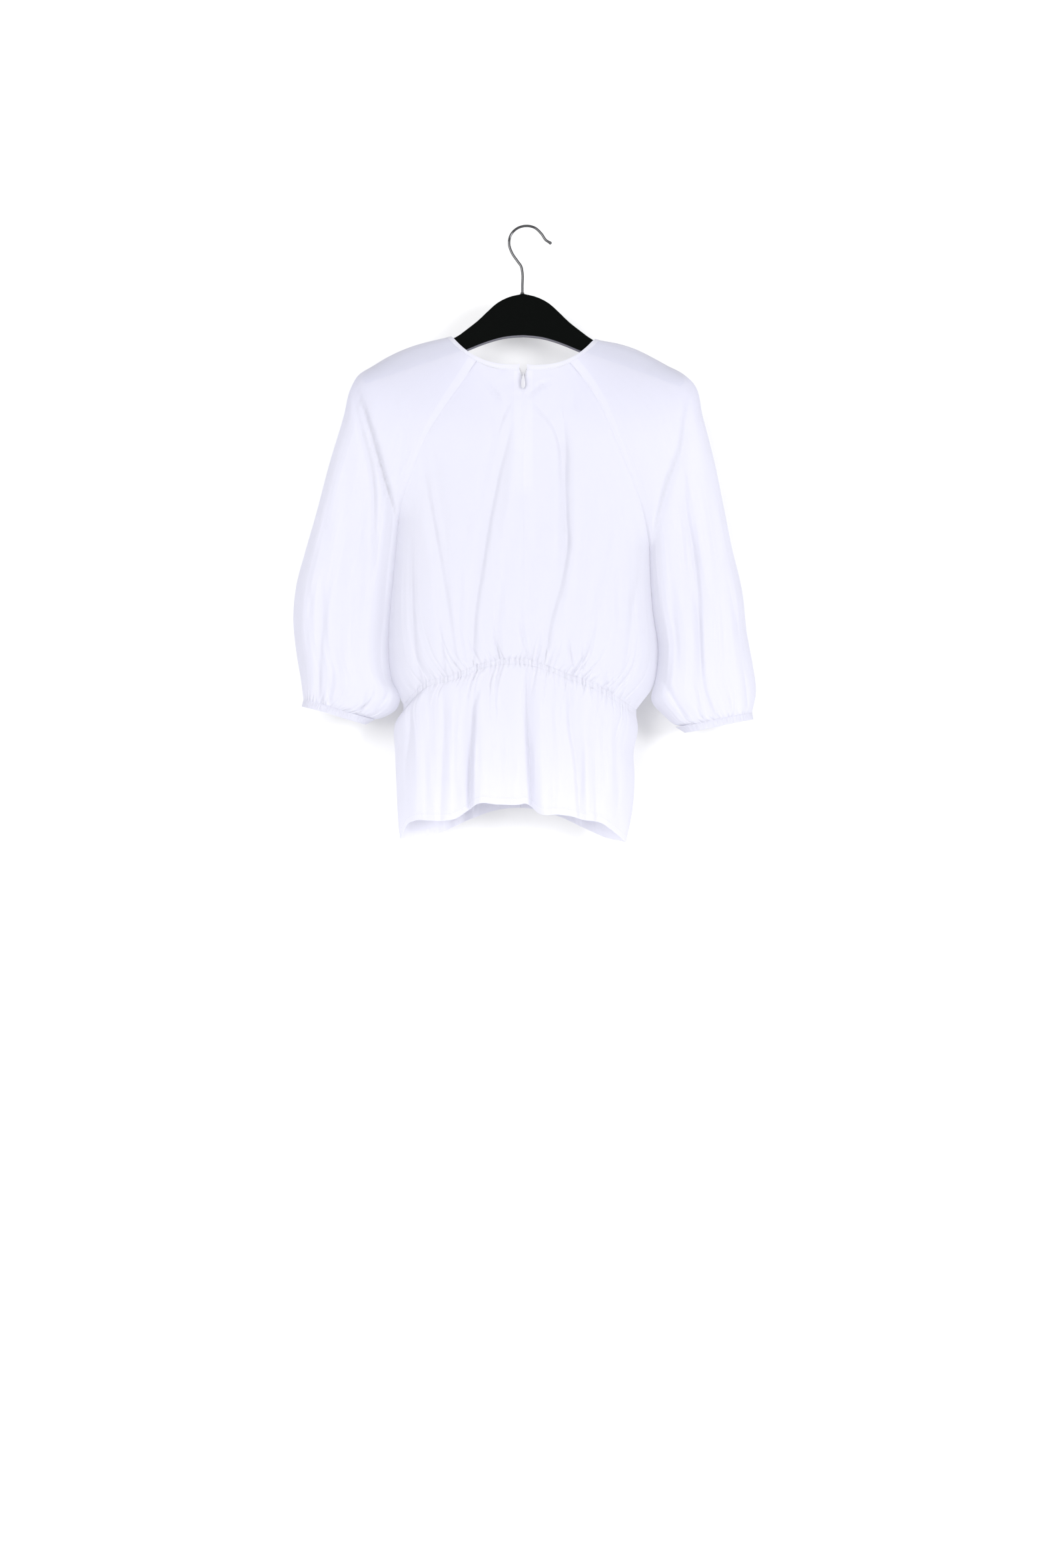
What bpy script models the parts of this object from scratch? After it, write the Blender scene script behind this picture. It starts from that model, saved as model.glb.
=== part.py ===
"""Peplum top on a hanger: a white cotton top with raglan balloon sleeves, seen from its back.

The hanger's hook carries it, so the frame's origin is the inner top of the hook's bend, with +Z up
and the garment's back towards -Y. Sizes are in millimetres and become metres where meshes are made.

Every cloth piece is an open sheet laid between four edges, moved out to its depth from the
garment's middle plane (y = 0), creased by its folds and thickened inwards to one wall.
"""

import math
from collections import namedtuple

import bmesh
import bpy
import numpy as np

MM = 0.001
LEFT, RIGHT = -1, 1
BACK, FRONT = -1, 1
SIDE_NAMES = {LEFT: "left", RIGHT: "right"}
FACE_NAMES = {BACK: "back", FRONT: "front"}

# Cloth and seams
WALL = 1.2
BINDING_WALL = 2.0
SEAM_GAP = 0.4
ZIP_SEAM_GAP = 0.7
FOLD_SEAM_GAP = 1.3
FOLD_FADE = 16.0
FRONT_FOLD_STEP = (6.0, -6.0)
EDGE_POWER = 8

# Neck: the seam under the binding, and the binding's upper edge
NECK_SEAM_HALF = 91.0
NECK_SEAM_SHOULDER = -132.4
NECK_TOP_HALF = 85.3
NECK_TOP_SHOULDER = -131.0
NECK_SEAM_CENTRE = {BACK: -171.5, FRONT: -214.5}
NECK_TOP_CENTRE = {BACK: -165.0, FRONT: -208.0}
NECK_SEAM_POWER = {BACK: 2.7, FRONT: 2.4}
NECK_TOP_POWER = {BACK: 3.1, FRONT: 2.5}
NECK_TILT = 0.018
NECK_DEPTH = 11.8
RAGLAN_TOP = {BACK: 55.0, FRONT: 62.0}
ZIP_SPREAD = 4.5
BACK_LENGTH = 341.5
BINDING_FLAT_COLUMNS = 8
BINDING_TURN_COLUMNS = 14
BINDING_OFFSET = -0.6

# Depth of the cloth from the middle plane
RAGLAN_SWELL = 6.0
BODY_SWELL = 19.0
BODY_SWELL_POWER = 1.2
HEM_SWELL = 6.0
BODY_ROUND = 2.4
RAGLAN_ROUND = 6.0
SHOULDER_ROUND = 14.0
WAIST_HALF = 146.0
ARC_SAMPLES = 400

# How far a sleeve swells out. Columns: part of its length, depth
SLEEVE_FULLNESS = [
    (0.0, 0.0), (0.2, 3.0), (0.45, 15.0), (0.6, 21.0), (0.78, 27.0), (0.9, 25.0), (1.0, 14.0),
]

# Rows: how far down each sheet they lie, and where the raglan seam ends
RAGLAN_PART = 0.45
OUTER_AT_UNDERARM = 0.52
BODY_ROWS = [0.0, 0.03, 0.1, 0.2, 0.3, 0.36, 0.41, 0.45, 0.56, 0.67, 0.78, 0.88, 0.95, 1.0]
SLEEVE_ROWS = [
    0.0, 0.05, 0.1, 0.14, 0.175, 0.2, 0.235, 0.3, 0.36, 0.41, 0.45,
    0.55, 0.66, 0.77, 0.86, 0.92, 0.965, 1.0,
]
PEPLUM_ROWS = [0.0, 0.06, 0.2, 0.36, 0.52, 0.68, 0.84, 1.0]
BODY_HALF_COLUMNS = 14
SLEEVE_COLUMNS = 14
PEPLUM_COLUMNS = 28

# Gathers: small waves at the waist and the cuffs
WAIST_GATHERS = 42
CUFF_GATHERS = 21
CUFF_SIDES = 56
GATHER_RISE = 0.8
GATHER_UNEVENNESS = 0.2
GATHER_BEAT = 23.0
GATHER_START = 1.7
CUFF_GATHER_PART = 0.6
CASING_HEIGHT = 7.0
CUFF_HEIGHT = 8.5
CUFF_HALF = 42.0
CUFF_DEPTH = SLEEVE_FULLNESS[-1][1]
CUFF_SPACING_DEPTH = 1.4 * CUFF_DEPTH

# Edges of the garment in the picture plane. Columns: x, z
RAGLAN = {
    LEFT: [(-72, -185), (-95, -217.5), (-115, -250), (-131, -290), (-143, -324), (-148, -347)],
    RIGHT: [(73, -184), (99, -228), (111, -257.5), (123, -286), (137, -322), (150, -378)],
}
BODY_SIDE = {
    LEFT: [(-148, -347), (-153, -403), (-158.5, -460), (-160, -503), (-156, -536), (-142, -566)],
    RIGHT: [(150, -378), (151, -411), (154, -453), (160.5, -505), (156, -540), (134, -572)],
}
UNDERARM = {
    LEFT: [
        (-148, -347), (-155.5, -403), (-162, -460), (-163.5, -503), (-157, -545),
        (-148, -566), (-160, -577), (-173, -583), (-184.5, -581.5),
    ],
    RIGHT: [
        (150, -378), (153.5, -411), (157, -453), (164.5, -505), (164, -535),
        (152, -561), (167, -579), (181, -590), (190, -591),
    ],
}
OVERARM = {
    LEFT: [
        (-103, -133.5), (-131, -141), (-155, -151), (-179, -165), (-196, -176), (-204, -190),
        (-213, -225), (-229, -278), (-246, -342), (-259, -387), (-269, -425), (-272.5, -465),
        (-269, -503), (-263, -540), (-260.5, -560),
    ],
    RIGHT: [
        (111, -137.5), (131, -143.5), (151, -153), (171, -164), (190, -174), (202, -185),
        (213, -225), (226, -275), (237, -328), (247, -378), (260, -434), (265, -480),
        (272, -518), (276, -552), (271.5, -575),
    ],
}
CUFF_LINE = {
    LEFT: [(-184.5, -581.5), (-209, -574.5), (-236, -566), (-260.5, -560)],
    RIGHT: [(190, -591), (215, -586.5), (245, -580), (271.5, -575)],
}
WAIST = {
    BACK: [
        (-142, -566), (-122, -545), (-81, -531), (-41, -516), (0, -513), (50, -529),
        (90, -545), (120, -563), (134, -572),
    ],
    FRONT: [
        (-142, -566), (-122, -549), (-81, -537), (-41, -525), (0, -521), (50, -534),
        (90, -549), (120, -565), (134, -572),
    ],
}
PEPLUM_SIDE = {
    LEFT: [(-142, -573), (-150, -584), (-151.5, -628), (-150, -667), (-148, -706), (-146, -725)],
    RIGHT: [(134, -579), (136, -592), (131, -622), (132, -654), (129.5, -690), (122, -729)],
}
HEM = {
    BACK: [
        (-146, -725), (-138, -709), (-120, -703), (-92, -703), (-70, -695), (-54, -684),
        (-26, -684), (2, -684.5), (14, -692), (43, -696), (75, -703), (100, -712), (122, -729),
    ],
    FRONT: [
        (-146, -725), (-123, -723), (-99, -718), (-70, -705), (-35, -692), (5, -689),
        (40, -698), (76, -714), (98, -724), (122, -729),
    ],
}

# Folds. Rise is how far a fold stands out at its top, middle and foot; a trough's is negative
Fold = namedtuple("Fold", "top middle foot width rise")
BACK_FOLDS = [
    Fold((-12, -236), (-39, -357), (-56, -512), 9, (-1, -5, -5)),
    Fold((52, -239), (49, -368), (27, -508), 13, (-1, -6, -4)),
    Fold((-127, -250), (-104, -364), (-81, -512), 9, (-1, -3, -3)),
    Fold((-131, -390), (-129, -470), (-119, -540), 8, (-1, -3, -3)),
    Fold((-20, -383), (-24, -440), (-30, -500), 6, (-1, -2, -2)),
    Fold((117, -322), (103, -400), (84, -520), 10, (-1, -3, -2)),
    Fold((139, -403), (130, -453), (122, -535), 8, (-1, -3, -2)),
    Fold((-72, -380), (-72, -440), (-70, -515), 10, (1, 3, 2)),
    Fold((8, -330), (5, -420), (2, -505), 12, (1, 3, 2)),
    Fold((86, -350), (75, -440), (62, -515), 11, (1, 3, 2)),
]
PEPLUM_FOLDS = [
    Fold((-58, -545), (-60, -620), (-63, -690), 10, (-4, -8, -9)),
    Fold((5, -530), (7, -620), (12, -690), 7, (-2, -5, -7)),
    Fold((-134, -562), (-136, -620), (-141, -680), 8, (-2, -4, -4)),
    Fold((-94, -549), (-96, -630), (-98, -705), 8, (-2, -4, -4)),
    Fold((54, -540), (57, -620), (66, -700), 11, (-2, -6, -6)),
    Fold((90, -560), (86, -630), (92, -705), 8, (-2, -4, -4)),
    Fold((-26, -540), (-28, -610), (-28, -684), 22, (1, 5, 6)),
    Fold((75, -560), (75, -640), (75, -703), 7, (1, 3, 4)),
    Fold((-78, -545), (-80, -620), (-80, -698), 8, (1, 3, 4)),
]
SLEEVE_FOLDS = {
    LEFT: [
        Fold((-197, -194), (-174, -262), (-153, -335), 9, (-1, -6, -6)),
        Fold((-202, -200), (-180, -290), (-175, -400), 7, (-1, -3, -1)),
        Fold((-237, -421), (-236, -490), (-240, -559), 9, (-2, -4, -3)),
        Fold((-256, -431), (-254, -480), (-258, -545), 7, (-1, -3, -2)),
        Fold((-215, -440), (-214, -500), (-218, -560), 12, (1, 4, 2)),
        Fold((-185, -470), (-184, -520), (-195, -572), 10, (-1, -3, -2)),
    ],
    RIGHT: [
        Fold((199, -196), (186, -278), (158, -360), 9, (-1, -5, -6)),
        Fold((190, -290), (203, -420), (218, -560), 9, (-1, -5, -3)),
        Fold((241, -426), (253, -490), (262, -562), 8, (-1, -4, -3)),
        Fold((222, -400), (232, -480), (240, -565), 11, (1, 4, 2)),
        Fold((178, -420), (182, -500), (196, -580), 9, (-1, -3, -2)),
    ],
}

# Zip at the centre back
TAPE_HALF = 11.0
TAPE_FOOT = 0.41
TAPE_WALL = 1.0
TAPE_GAP = 0.8
SLIDER_SIZE = (5.0, 2.0, 8.0)
SLIDER_Z = -178.5
SLIDER_GAP = 0.4
EAR_SIZE = (0.7, 2.9, 2.6)
EAR_SPREAD = 1.65
EAR_SEAT = 0.4
PIN_RADIUS = 0.4
PIN_Z = -176.5
KNUCKLE_RADIUS = 1.1
KNUCKLE_BORE = 0.72
KNUCKLE_HALF = 1.0
KNUCKLE_GAP = 0.35
TAB_WALL = 1.0
TAB_LENGTH = 17.0
# Columns: part of its length, half width
TAB_PROFILE = [(0.0, 0.9), (0.15, 1.1), (0.45, 2.3), (0.75, 3.2), (0.92, 2.2), (1.0, 0.0)]
TAB_STOPS = [0.0, 0.15, 0.3, 0.45, 0.6, 0.75, 0.85, 0.92, 0.97, 1.0]
TAPE_COLUMNS = 4

# Hanger and hook. Columns: distance from the middle, z
HANGER_HALF_THICK = 5.5
HANGER_ROUND = 2.6
HANGER_REACH = 191.5
ARM_PART = 0.235
ARM_END_FALL = 7.0
EDGE_SHARP = math.radians(50)
FLAT_ENOUGH = math.radians(1)
HANGER_TOP = [(0, -79.3), (16, -83), (30, -90), (42, -100.5), (54, -112), (66, -121.5), (79, -131)]
HANGER_FOOT = [(186, -190), (84, -153), (67, -147), (48, -138.5), (32, -131.5), (17, -127), (0, -126.5)]
# Columns: how far along the arm, drop of its upper edge below the shoulder line
ARM_DROP = [(0.0, 4.4), (0.12, 4.0), (0.3, 4.2), (0.5, 4.2), (0.7, 3.4), (0.8, 3.4), (0.87, 4.0)]
HOOK_RADIUS = 1.6
HOOK_TIP = 1.25
HOOK_SEAT = 12.0
HOOK_BORE_GAP = 0.3
HOOK_POINTS = 40
ROUND_SIDES = 16
# Columns: x, z of the wire's centre line
HOOK_LINE = [
    (-1, -91), (-1, -70), (-1, -49), (-7, -39.5), (-13.5, -30.5), (-17, -19), (-14, -8.5),
    (-6.5, -0.9), (4, 1.6), (14, -0.7), (22, -8), (27, -15.5), (32, -18.5),
]

CLOTH = (0.9, 0.9, 0.97)
CLOTH_ROUGH = 0.8
LACQUER_ROUGH = 0.35
BLACK = (0.012, 0.012, 0.013)
BLACK_ROUGH = 0.45
CHROME = (0.75, 0.75, 0.77)
CHROME_ROUGH = 0.12


# Curves and sheets

def smooth(rows):
    """A smooth function through table rows, read by their first column."""
    rows = np.array(rows, float)
    marks, values = rows[:, 0], rows[:, 1:]
    slopes = np.gradient(values, marks, axis=0)

    def read(where):
        where = min(max(where, marks[0]), marks[-1])
        cell = min(int(np.searchsorted(marks, where, side="right")) - 1, len(marks) - 2)
        span = marks[cell + 1] - marks[cell]
        k = (where - marks[cell]) / span
        ease = k * k * (3 - 2 * k)
        start = values[cell] * (1 - ease) + slopes[cell] * span * k * (1 - k) ** 2
        end = values[cell + 1] * ease - slopes[cell + 1] * span * k * k * (1 - k)
        return start + end

    return read


def path(points):
    """A smooth curve through points in a plane, read from 0 to 1 along its length."""
    points = np.array(points, float)
    steps = np.linalg.norm(np.diff(points, axis=0), axis=1)
    marks = np.concatenate([[0.0], np.cumsum(steps)]) / steps.sum()
    return smooth(np.column_stack([marks, points]))


def by_x(points, gap=0.0):
    """A smooth edge read from -1 at its left end to 1 at its right end, in step with x."""
    table = smooth([(x, z) for x, z in points])
    left, right = points[0][0], points[-1][0]

    def read(s):
        x = -s * left if s < 0 else s * right
        return np.array([x, table(x)[0] + gap])

    return read


def laid(top, foot, first, last, s, t):
    """A point of a four-sided sheet: s from its first side to its last, t from top to foot."""
    sides = (1 - s) * first(t) + s * last(t)
    ends = (1 - t) * top(s) + t * foot(s)
    upper = (1 - t) * ((1 - s) * first(0.0) + s * last(0.0))
    lower = t * ((1 - s) * first(1.0) + s * last(1.0))
    return sides + ends - upper - lower


def lift(folds, x, z):
    """How far the folds move the cloth out at a place."""
    total = 0.0
    for fold in folds:
        (x0, z0), (x1, z1), (x2, z2) = fold.top, fold.middle, fold.foot
        level = min(max(z, z2), z0)
        weights = (
            (level - z1) * (level - z2) / ((z0 - z1) * (z0 - z2)),
            (level - z0) * (level - z2) / ((z1 - z0) * (z1 - z2)),
            (level - z0) * (level - z1) / ((z2 - z0) * (z2 - z1)),
        )
        line = weights[0] * x0 + weights[1] * x1 + weights[2] * x2
        rise = sum(weight * part for weight, part in zip(weights, fold.rise))
        across, past = (x - line) / fold.width, (z - level) / FOLD_FADE
        total += rise * math.exp(-across * across - past * past)
    return total


def mirrored(folds):
    """Like folds for the garment's other face, moved a little so that the faces differ."""
    step_x, step_z = FRONT_FOLD_STEP
    turned = []
    for fold in folds:
        places = [(step_x - x, step_z + z) for x, z in (fold.top, fold.middle, fold.foot)]
        turned.append(Fold(*places, fold.width, fold.rise))
    return turned


def rounded(s, power):
    """A section's half depth from 1 at its middle to 0 at its edge."""
    return math.sqrt(max(0.0, 1 - abs(s) ** power))


# Materials and objects

def material(name, colour, rough, metallic=0.0):
    made = bpy.data.materials.new(name)
    made.use_nodes = True
    shader = made.node_tree.nodes["Principled BSDF"]
    shader.inputs["Base Color"].default_value = (*colour, 1.0)
    shader.inputs["Roughness"].default_value = rough
    shader.inputs["Metallic"].default_value = metallic
    return made


def add_object(name, mesh, look):
    """Put a finished mesh into the scene with its own material."""
    mesh.materials.append(material(name, *look))
    made = bpy.data.objects.new(name, mesh)
    parts.objects.link(made)
    return made


def finished_mesh(name, shape):
    """Turn a bmesh in millimetres into a mesh in metres."""
    bmesh.ops.scale(shape, vec=(MM, MM, MM), verts=shape.verts)
    mesh = bpy.data.meshes.new(name)
    shape.to_mesh(mesh)
    shape.free()
    return mesh


def mesh_object(name, shape, look):
    return add_object(name, finished_mesh(name, shape), look)


def thicken(made, wall, offset=-1.0):
    solid = made.modifiers.new("wall", "SOLIDIFY")
    solid.thickness = wall * MM
    solid.offset = offset


def face_outwards(shape, facing):
    """Turn the faces so that they look away from the middle plane."""
    shape.normal_update()
    if sum(face.normal.y * face.calc_area() for face in shape.faces) * facing < 0:
        bmesh.ops.reverse_faces(shape, faces=shape.faces)


def flat_grid(columns, rows, fine_rows=(), cuts=0):
    """A flat grid in columns and rows, its edges cut finer along the rows that are gathered."""
    shape = bmesh.new()
    bmesh.ops.create_grid(shape, x_segments=columns, y_segments=rows, size=0.5)
    for vertex in shape.verts:
        vertex.co.x = round((vertex.co.x + 0.5) * columns)
        vertex.co.y = round((vertex.co.y + 0.5) * rows)
    level = [edge for edge in shape.edges if edge.verts[0].co.y == edge.verts[1].co.y]
    gathered = [edge for edge in level if int(edge.verts[0].co.y) in fine_rows]
    if gathered:
        bmesh.ops.subdivide_edges(shape, edges=gathered, cuts=cuts, use_grid_fill=True)
    return shape


def sheet(name, facing, grid, columns, stops, place, wall=WALL, offset=-1.0):
    """Move a flat grid to its place, u from 0 to 1 across and t from its row stops, as one wall."""
    for vertex in grid.verts:
        u, t = vertex.co.x / columns, stops[int(round(vertex.co.y))]
        vertex.co = place(u, t)
    face_outwards(grid, facing)
    made = mesh_object(name, grid, (CLOTH, CLOTH_ROUGH))
    thicken(made, wall, offset)
    return made


# Neck edge and seams

def neck_z(half, shoulder, centre, power, x):
    return centre + (shoulder - centre) * min(abs(x) / half, 1.0) ** power - NECK_TILT * x


def neck_seam_z(facing, x):
    return neck_z(
        NECK_SEAM_HALF, NECK_SEAM_SHOULDER, NECK_SEAM_CENTRE[facing], NECK_SEAM_POWER[facing], x
    )


def neck_top_z(facing, x):
    return neck_z(NECK_TOP_HALF, NECK_TOP_SHOULDER, NECK_TOP_CENTRE[facing], NECK_TOP_POWER[facing], x)


def neck_point(facing, x):
    return np.array([x, neck_seam_z(facing, x)])


def raglan_path(side, facing):
    """The raglan seam from the neck to the underarm; the front's starts lower."""
    start = neck_point(facing, side * RAGLAN_TOP[facing])
    lower = RAGLAN[side] if facing == BACK else RAGLAN[side][1:]
    return path([tuple(start)] + lower)


def shoulder_path(side):
    """The outer edge of a sleeve: along the shoulder and down the overarm seam to the cuff."""
    start = neck_point(BACK, side * NECK_SEAM_HALF)
    return path([tuple(start)] + OVERARM[side])


def joined(upper, lower):
    """One edge from the raglan seam and the edge below it."""
    def read(t):
        if t <= RAGLAN_PART:
            return upper(t / RAGLAN_PART)
        return lower((t - RAGLAN_PART) / (1 - RAGLAN_PART))

    return read


def raglan_depth(t):
    """The raglan seam's depth, which runs out at the underarm."""
    q = min(t / RAGLAN_PART, 1.0)
    return (NECK_DEPTH + RAGLAN_SWELL * q) * rounded(q, RAGLAN_ROUND)


def body_depth(t):
    """The depth of the body's middle, fuller towards the waist."""
    return NECK_DEPTH + BODY_SWELL * (1 - (1 - t) ** 2) ** BODY_SWELL_POWER


def gather(u, waves):
    """A gather's rise at u, its waves uneven in height."""
    uneven = 1 - GATHER_UNEVENNESS * (1 - math.sin(GATHER_BEAT * u + GATHER_START))
    return -GATHER_RISE * uneven * math.cos(2 * math.pi * waves * u)


# Bodice, waist casing and peplum

def body_sheet(facing):
    """A bodice face, s from -1 at the left to 1 at the right and t from neck to waist.

    Gives the function that places its points, and the one for its half width.
    """
    def top(s):
        return neck_point(facing, (2 * s - 1) * RAGLAN_TOP[facing])

    waist = by_x(WAIST[facing], gap=SEAM_GAP / 2)
    sides = {side: joined(raglan_path(side, facing), path(BODY_SIDE[side])) for side in (LEFT, RIGHT)}
    folds = BACK_FOLDS if facing == BACK else mirrored(BACK_FOLDS)

    def half_width(t):
        return (sides[RIGHT](t)[0] - sides[LEFT](t)[0]) / 2

    def place(s, t, ruffle=0.0, inset=0.0):
        inner_s = s * (1 - SEAM_GAP / 2 / half_width(t))
        x, z = laid(
            top, lambda k: waist(2 * k - 1), sides[LEFT], sides[RIGHT], (inner_s + 1) / 2, t
        )
        blend = min(t / RAGLAN_PART, 1.0) ** 3
        crown = (1 - blend) * (1 - s * s) + blend * rounded(s, BODY_ROUND)
        depth = raglan_depth(t) + (body_depth(t) - raglan_depth(t)) * crown
        depth += lift(folds, x, z) * (1 - abs(s) ** EDGE_POWER)
        pull = max(0.0, (t - BODY_ROWS[-3]) / (1 - BODY_ROWS[-3]))
        depth += ruffle * pull
        return x, facing * (max(depth, FOLD_SEAM_GAP / 2) - inset), z

    return place, half_width


def even_spacing(half_width, depth):
    """Places from the middle of a rounded section to its edge, evenly spaced along its surface."""
    s = np.sin(np.linspace(0, math.pi / 2, ARC_SAMPLES))
    y = depth * np.sqrt(np.maximum(0.0, 1 - s ** BODY_ROUND))
    steps = np.hypot(np.diff(s * half_width), np.diff(y))
    marks = np.concatenate([[0.0], np.cumsum(steps)]) / steps.sum()
    return lambda u: math.copysign(np.interp(abs(u), marks, s), u)


across_waist = even_spacing(WAIST_HALF, NECK_DEPTH + BODY_SWELL)
across_cuff = even_spacing(CUFF_HALF, CUFF_SPACING_DEPTH)


def across_body(u, t):
    """From the middle to a side: closer at the side, but even by the waist."""
    even = t ** EDGE_POWER
    return (1 - even) * math.sin(math.pi / 2 * u) + even * across_waist(u)


def make_bodice():
    fine = (len(BODY_ROWS) - 2, len(BODY_ROWS) - 1)
    rows = len(BODY_ROWS) - 1
    back, _ = body_sheet(BACK)
    for side in (LEFT, RIGHT):
        def place(u, t, side=side):
            ruffle = gather((side * u + 1) / 2, WAIST_GATHERS)
            x, y, z = back(across_body(side * u, t), t, ruffle)
            parted = ZIP_SEAM_GAP / 2 + ZIP_SPREAD * max(0.0, 1 - t / BODY_ROWS[1])
            return x + side * parted * (1 - u), y, z

        grid = flat_grid(BODY_HALF_COLUMNS, rows, fine, cuts=2)
        sheet(f"bodice_back_{SIDE_NAMES[side]}", BACK, grid, BODY_HALF_COLUMNS, BODY_ROWS, place)
    front, _ = body_sheet(FRONT)

    def place_front(u, t):
        return front(across_body(2 * u - 1, t), t, gather(u, WAIST_GATHERS))

    columns = 2 * BODY_HALF_COLUMNS
    grid = flat_grid(columns, rows, fine, cuts=2)
    sheet("bodice_front", FRONT, grid, columns, BODY_ROWS, place_front)


def make_casing(facing):
    """The narrow gathered band at the waist."""
    upper = by_x(WAIST[facing], gap=-SEAM_GAP / 2)
    lower = by_x(WAIST[facing], gap=SEAM_GAP / 2 - CASING_HEIGHT)

    def place(u, t):
        s = across_waist(2 * u - 1)
        x, z = (1 - t) * upper(s) + t * lower(s)
        depth = body_depth(1.0) * rounded(s, BODY_ROUND) + gather(u, WAIST_GATHERS)
        return x, facing * max(depth, FOLD_SEAM_GAP / 2), z

    columns = 2 * WAIST_GATHERS
    name = f"waist_casing_{FACE_NAMES[facing]}"
    sheet(name, facing, flat_grid(columns, 1), columns, [0.0, 1.0], place)


def make_peplum(facing):
    """The short flared skirt piece below the casing."""
    upper = by_x(WAIST[facing], gap=-SEAM_GAP / 2 - CASING_HEIGHT)
    hem = by_x(HEM[facing])
    sides = {side: path(PEPLUM_SIDE[side]) for side in (LEFT, RIGHT)}
    folds = PEPLUM_FOLDS if facing == BACK else mirrored(PEPLUM_FOLDS)

    def place(u, t):
        s = across_waist(2 * u - 1)
        x, z = laid(
            lambda k: upper(2 * k - 1), lambda k: hem(2 * k - 1), sides[LEFT], sides[RIGHT],
            (s + 1) / 2, t,
        )
        depth = (body_depth(1.0) + HEM_SWELL * t) * rounded(s, BODY_ROUND)
        depth += lift(folds, x, z) * (1 - abs(s) ** EDGE_POWER) * min(1.0, t / PEPLUM_ROWS[3])
        depth += gather(u, WAIST_GATHERS) * max(0.0, 1 - t / PEPLUM_ROWS[2])
        return x, facing * max(depth, FOLD_SEAM_GAP / 2), z

    grid = flat_grid(PEPLUM_COLUMNS, len(PEPLUM_ROWS) - 1, (0, 1), cuts=2)
    sheet(f"peplum_{FACE_NAMES[facing]}", facing, grid, PEPLUM_COLUMNS, PEPLUM_ROWS, place)


# Sleeves and cuffs

SLEEVE_DEPTH = smooth(SLEEVE_FULLNESS)


def across_sleeve(u, t):
    """From the inner edge to the outer: closer at both by the shoulder, even by the cuff."""
    close = (1 - math.cos(math.pi * u)) / 2
    even = (1 + across_cuff(2 * u - 1)) / 2
    return (1 - t) * close + t * even


def make_sleeve(side, facing):
    """One face of a raglan sleeve, from the raglan and underarm seams to the overarm seam."""
    inner = joined(raglan_path(side, facing), path(UNDERARM[side]))
    overarm = shoulder_path(side)
    cuff = path(CUFF_LINE[side])
    folds = SLEEVE_FOLDS[side]

    def outer(t):
        if t <= RAGLAN_PART:
            return overarm(t * OUTER_AT_UNDERARM / RAGLAN_PART)
        rest = (t - RAGLAN_PART) / (1 - RAGLAN_PART)
        return overarm(OUTER_AT_UNDERARM + rest * (1 - OUTER_AT_UNDERARM))

    def top(s):
        start = RAGLAN_TOP[facing]
        return neck_point(facing, side * (start + (NECK_SEAM_HALF - start) * s))

    def place(u, t):
        s = across_sleeve(u, t)
        width = np.linalg.norm(outer(t) - inner(t))
        inner_s = s + (1 - s) * SEAM_GAP / (2 * width)
        x, z = laid(top, cuff, inner, outer, inner_s, t)
        blend = min(t / RAGLAN_PART, 1.0)
        shoulder = raglan_depth(t) * rounded(s, SHOULDER_ROUND)
        full = (1 - blend ** 3) * math.sin(math.pi * s) + blend ** 3 * rounded(2 * s - 1, BODY_ROUND)
        depth = shoulder + SLEEVE_DEPTH(t)[0] * full
        depth += lift(folds, x, z) * (1 - abs(2 * s - 1) ** EDGE_POWER)
        pull = max(0.0, (t - SLEEVE_ROWS[-2]) / (1 - SLEEVE_ROWS[-2]))
        depth += CUFF_GATHER_PART * gather(u, CUFF_GATHERS) * pull
        return x, facing * max(depth, FOLD_SEAM_GAP / 2), z

    rows = len(SLEEVE_ROWS) - 1
    grid = flat_grid(SLEEVE_COLUMNS, rows, (rows,), cuts=2)
    name = f"sleeve_{SIDE_NAMES[side]}_{FACE_NAMES[facing]}"
    sheet(name, facing, grid, SLEEVE_COLUMNS, SLEEVE_ROWS, place)


def make_cuff(side):
    """The narrow bound band that a sleeve is gathered into, a flattened ring."""
    line = path(CUFF_LINE[side])
    shape = bmesh.new()
    bmesh.ops.create_cone(
        shape, cap_ends=False, segments=CUFF_SIDES, radius1=1.0, radius2=1.0, depth=2.0
    )
    ends = line(1.0) - line(0.0)
    down = np.array([ends[1], -ends[0]]) / np.linalg.norm(ends)
    down *= math.copysign(1.0, -down[1])
    for vertex in shape.verts:
        turn = math.atan2(vertex.co.y, vertex.co.x)
        s = across_sleeve(abs(turn) / math.pi, 1.0)
        drop = SEAM_GAP if vertex.co.z > 0 else CUFF_HEIGHT
        x, z = line(s) + down * drop
        depth = CUFF_DEPTH * rounded(2 * s - 1, BODY_ROUND)
        vertex.co = (x, math.copysign(depth, math.sin(turn)), z)
    shape.normal_update()
    near = min(shape.faces, key=lambda face: face.calc_center_median().y)
    if near.normal.y > 0:
        bmesh.ops.reverse_faces(shape, faces=shape.faces)
    made = mesh_object(f"cuff_{SIDE_NAMES[side]}", shape, (CLOTH, CLOTH_ROUGH))
    thicken(made, WALL)


# Neck binding

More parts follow.
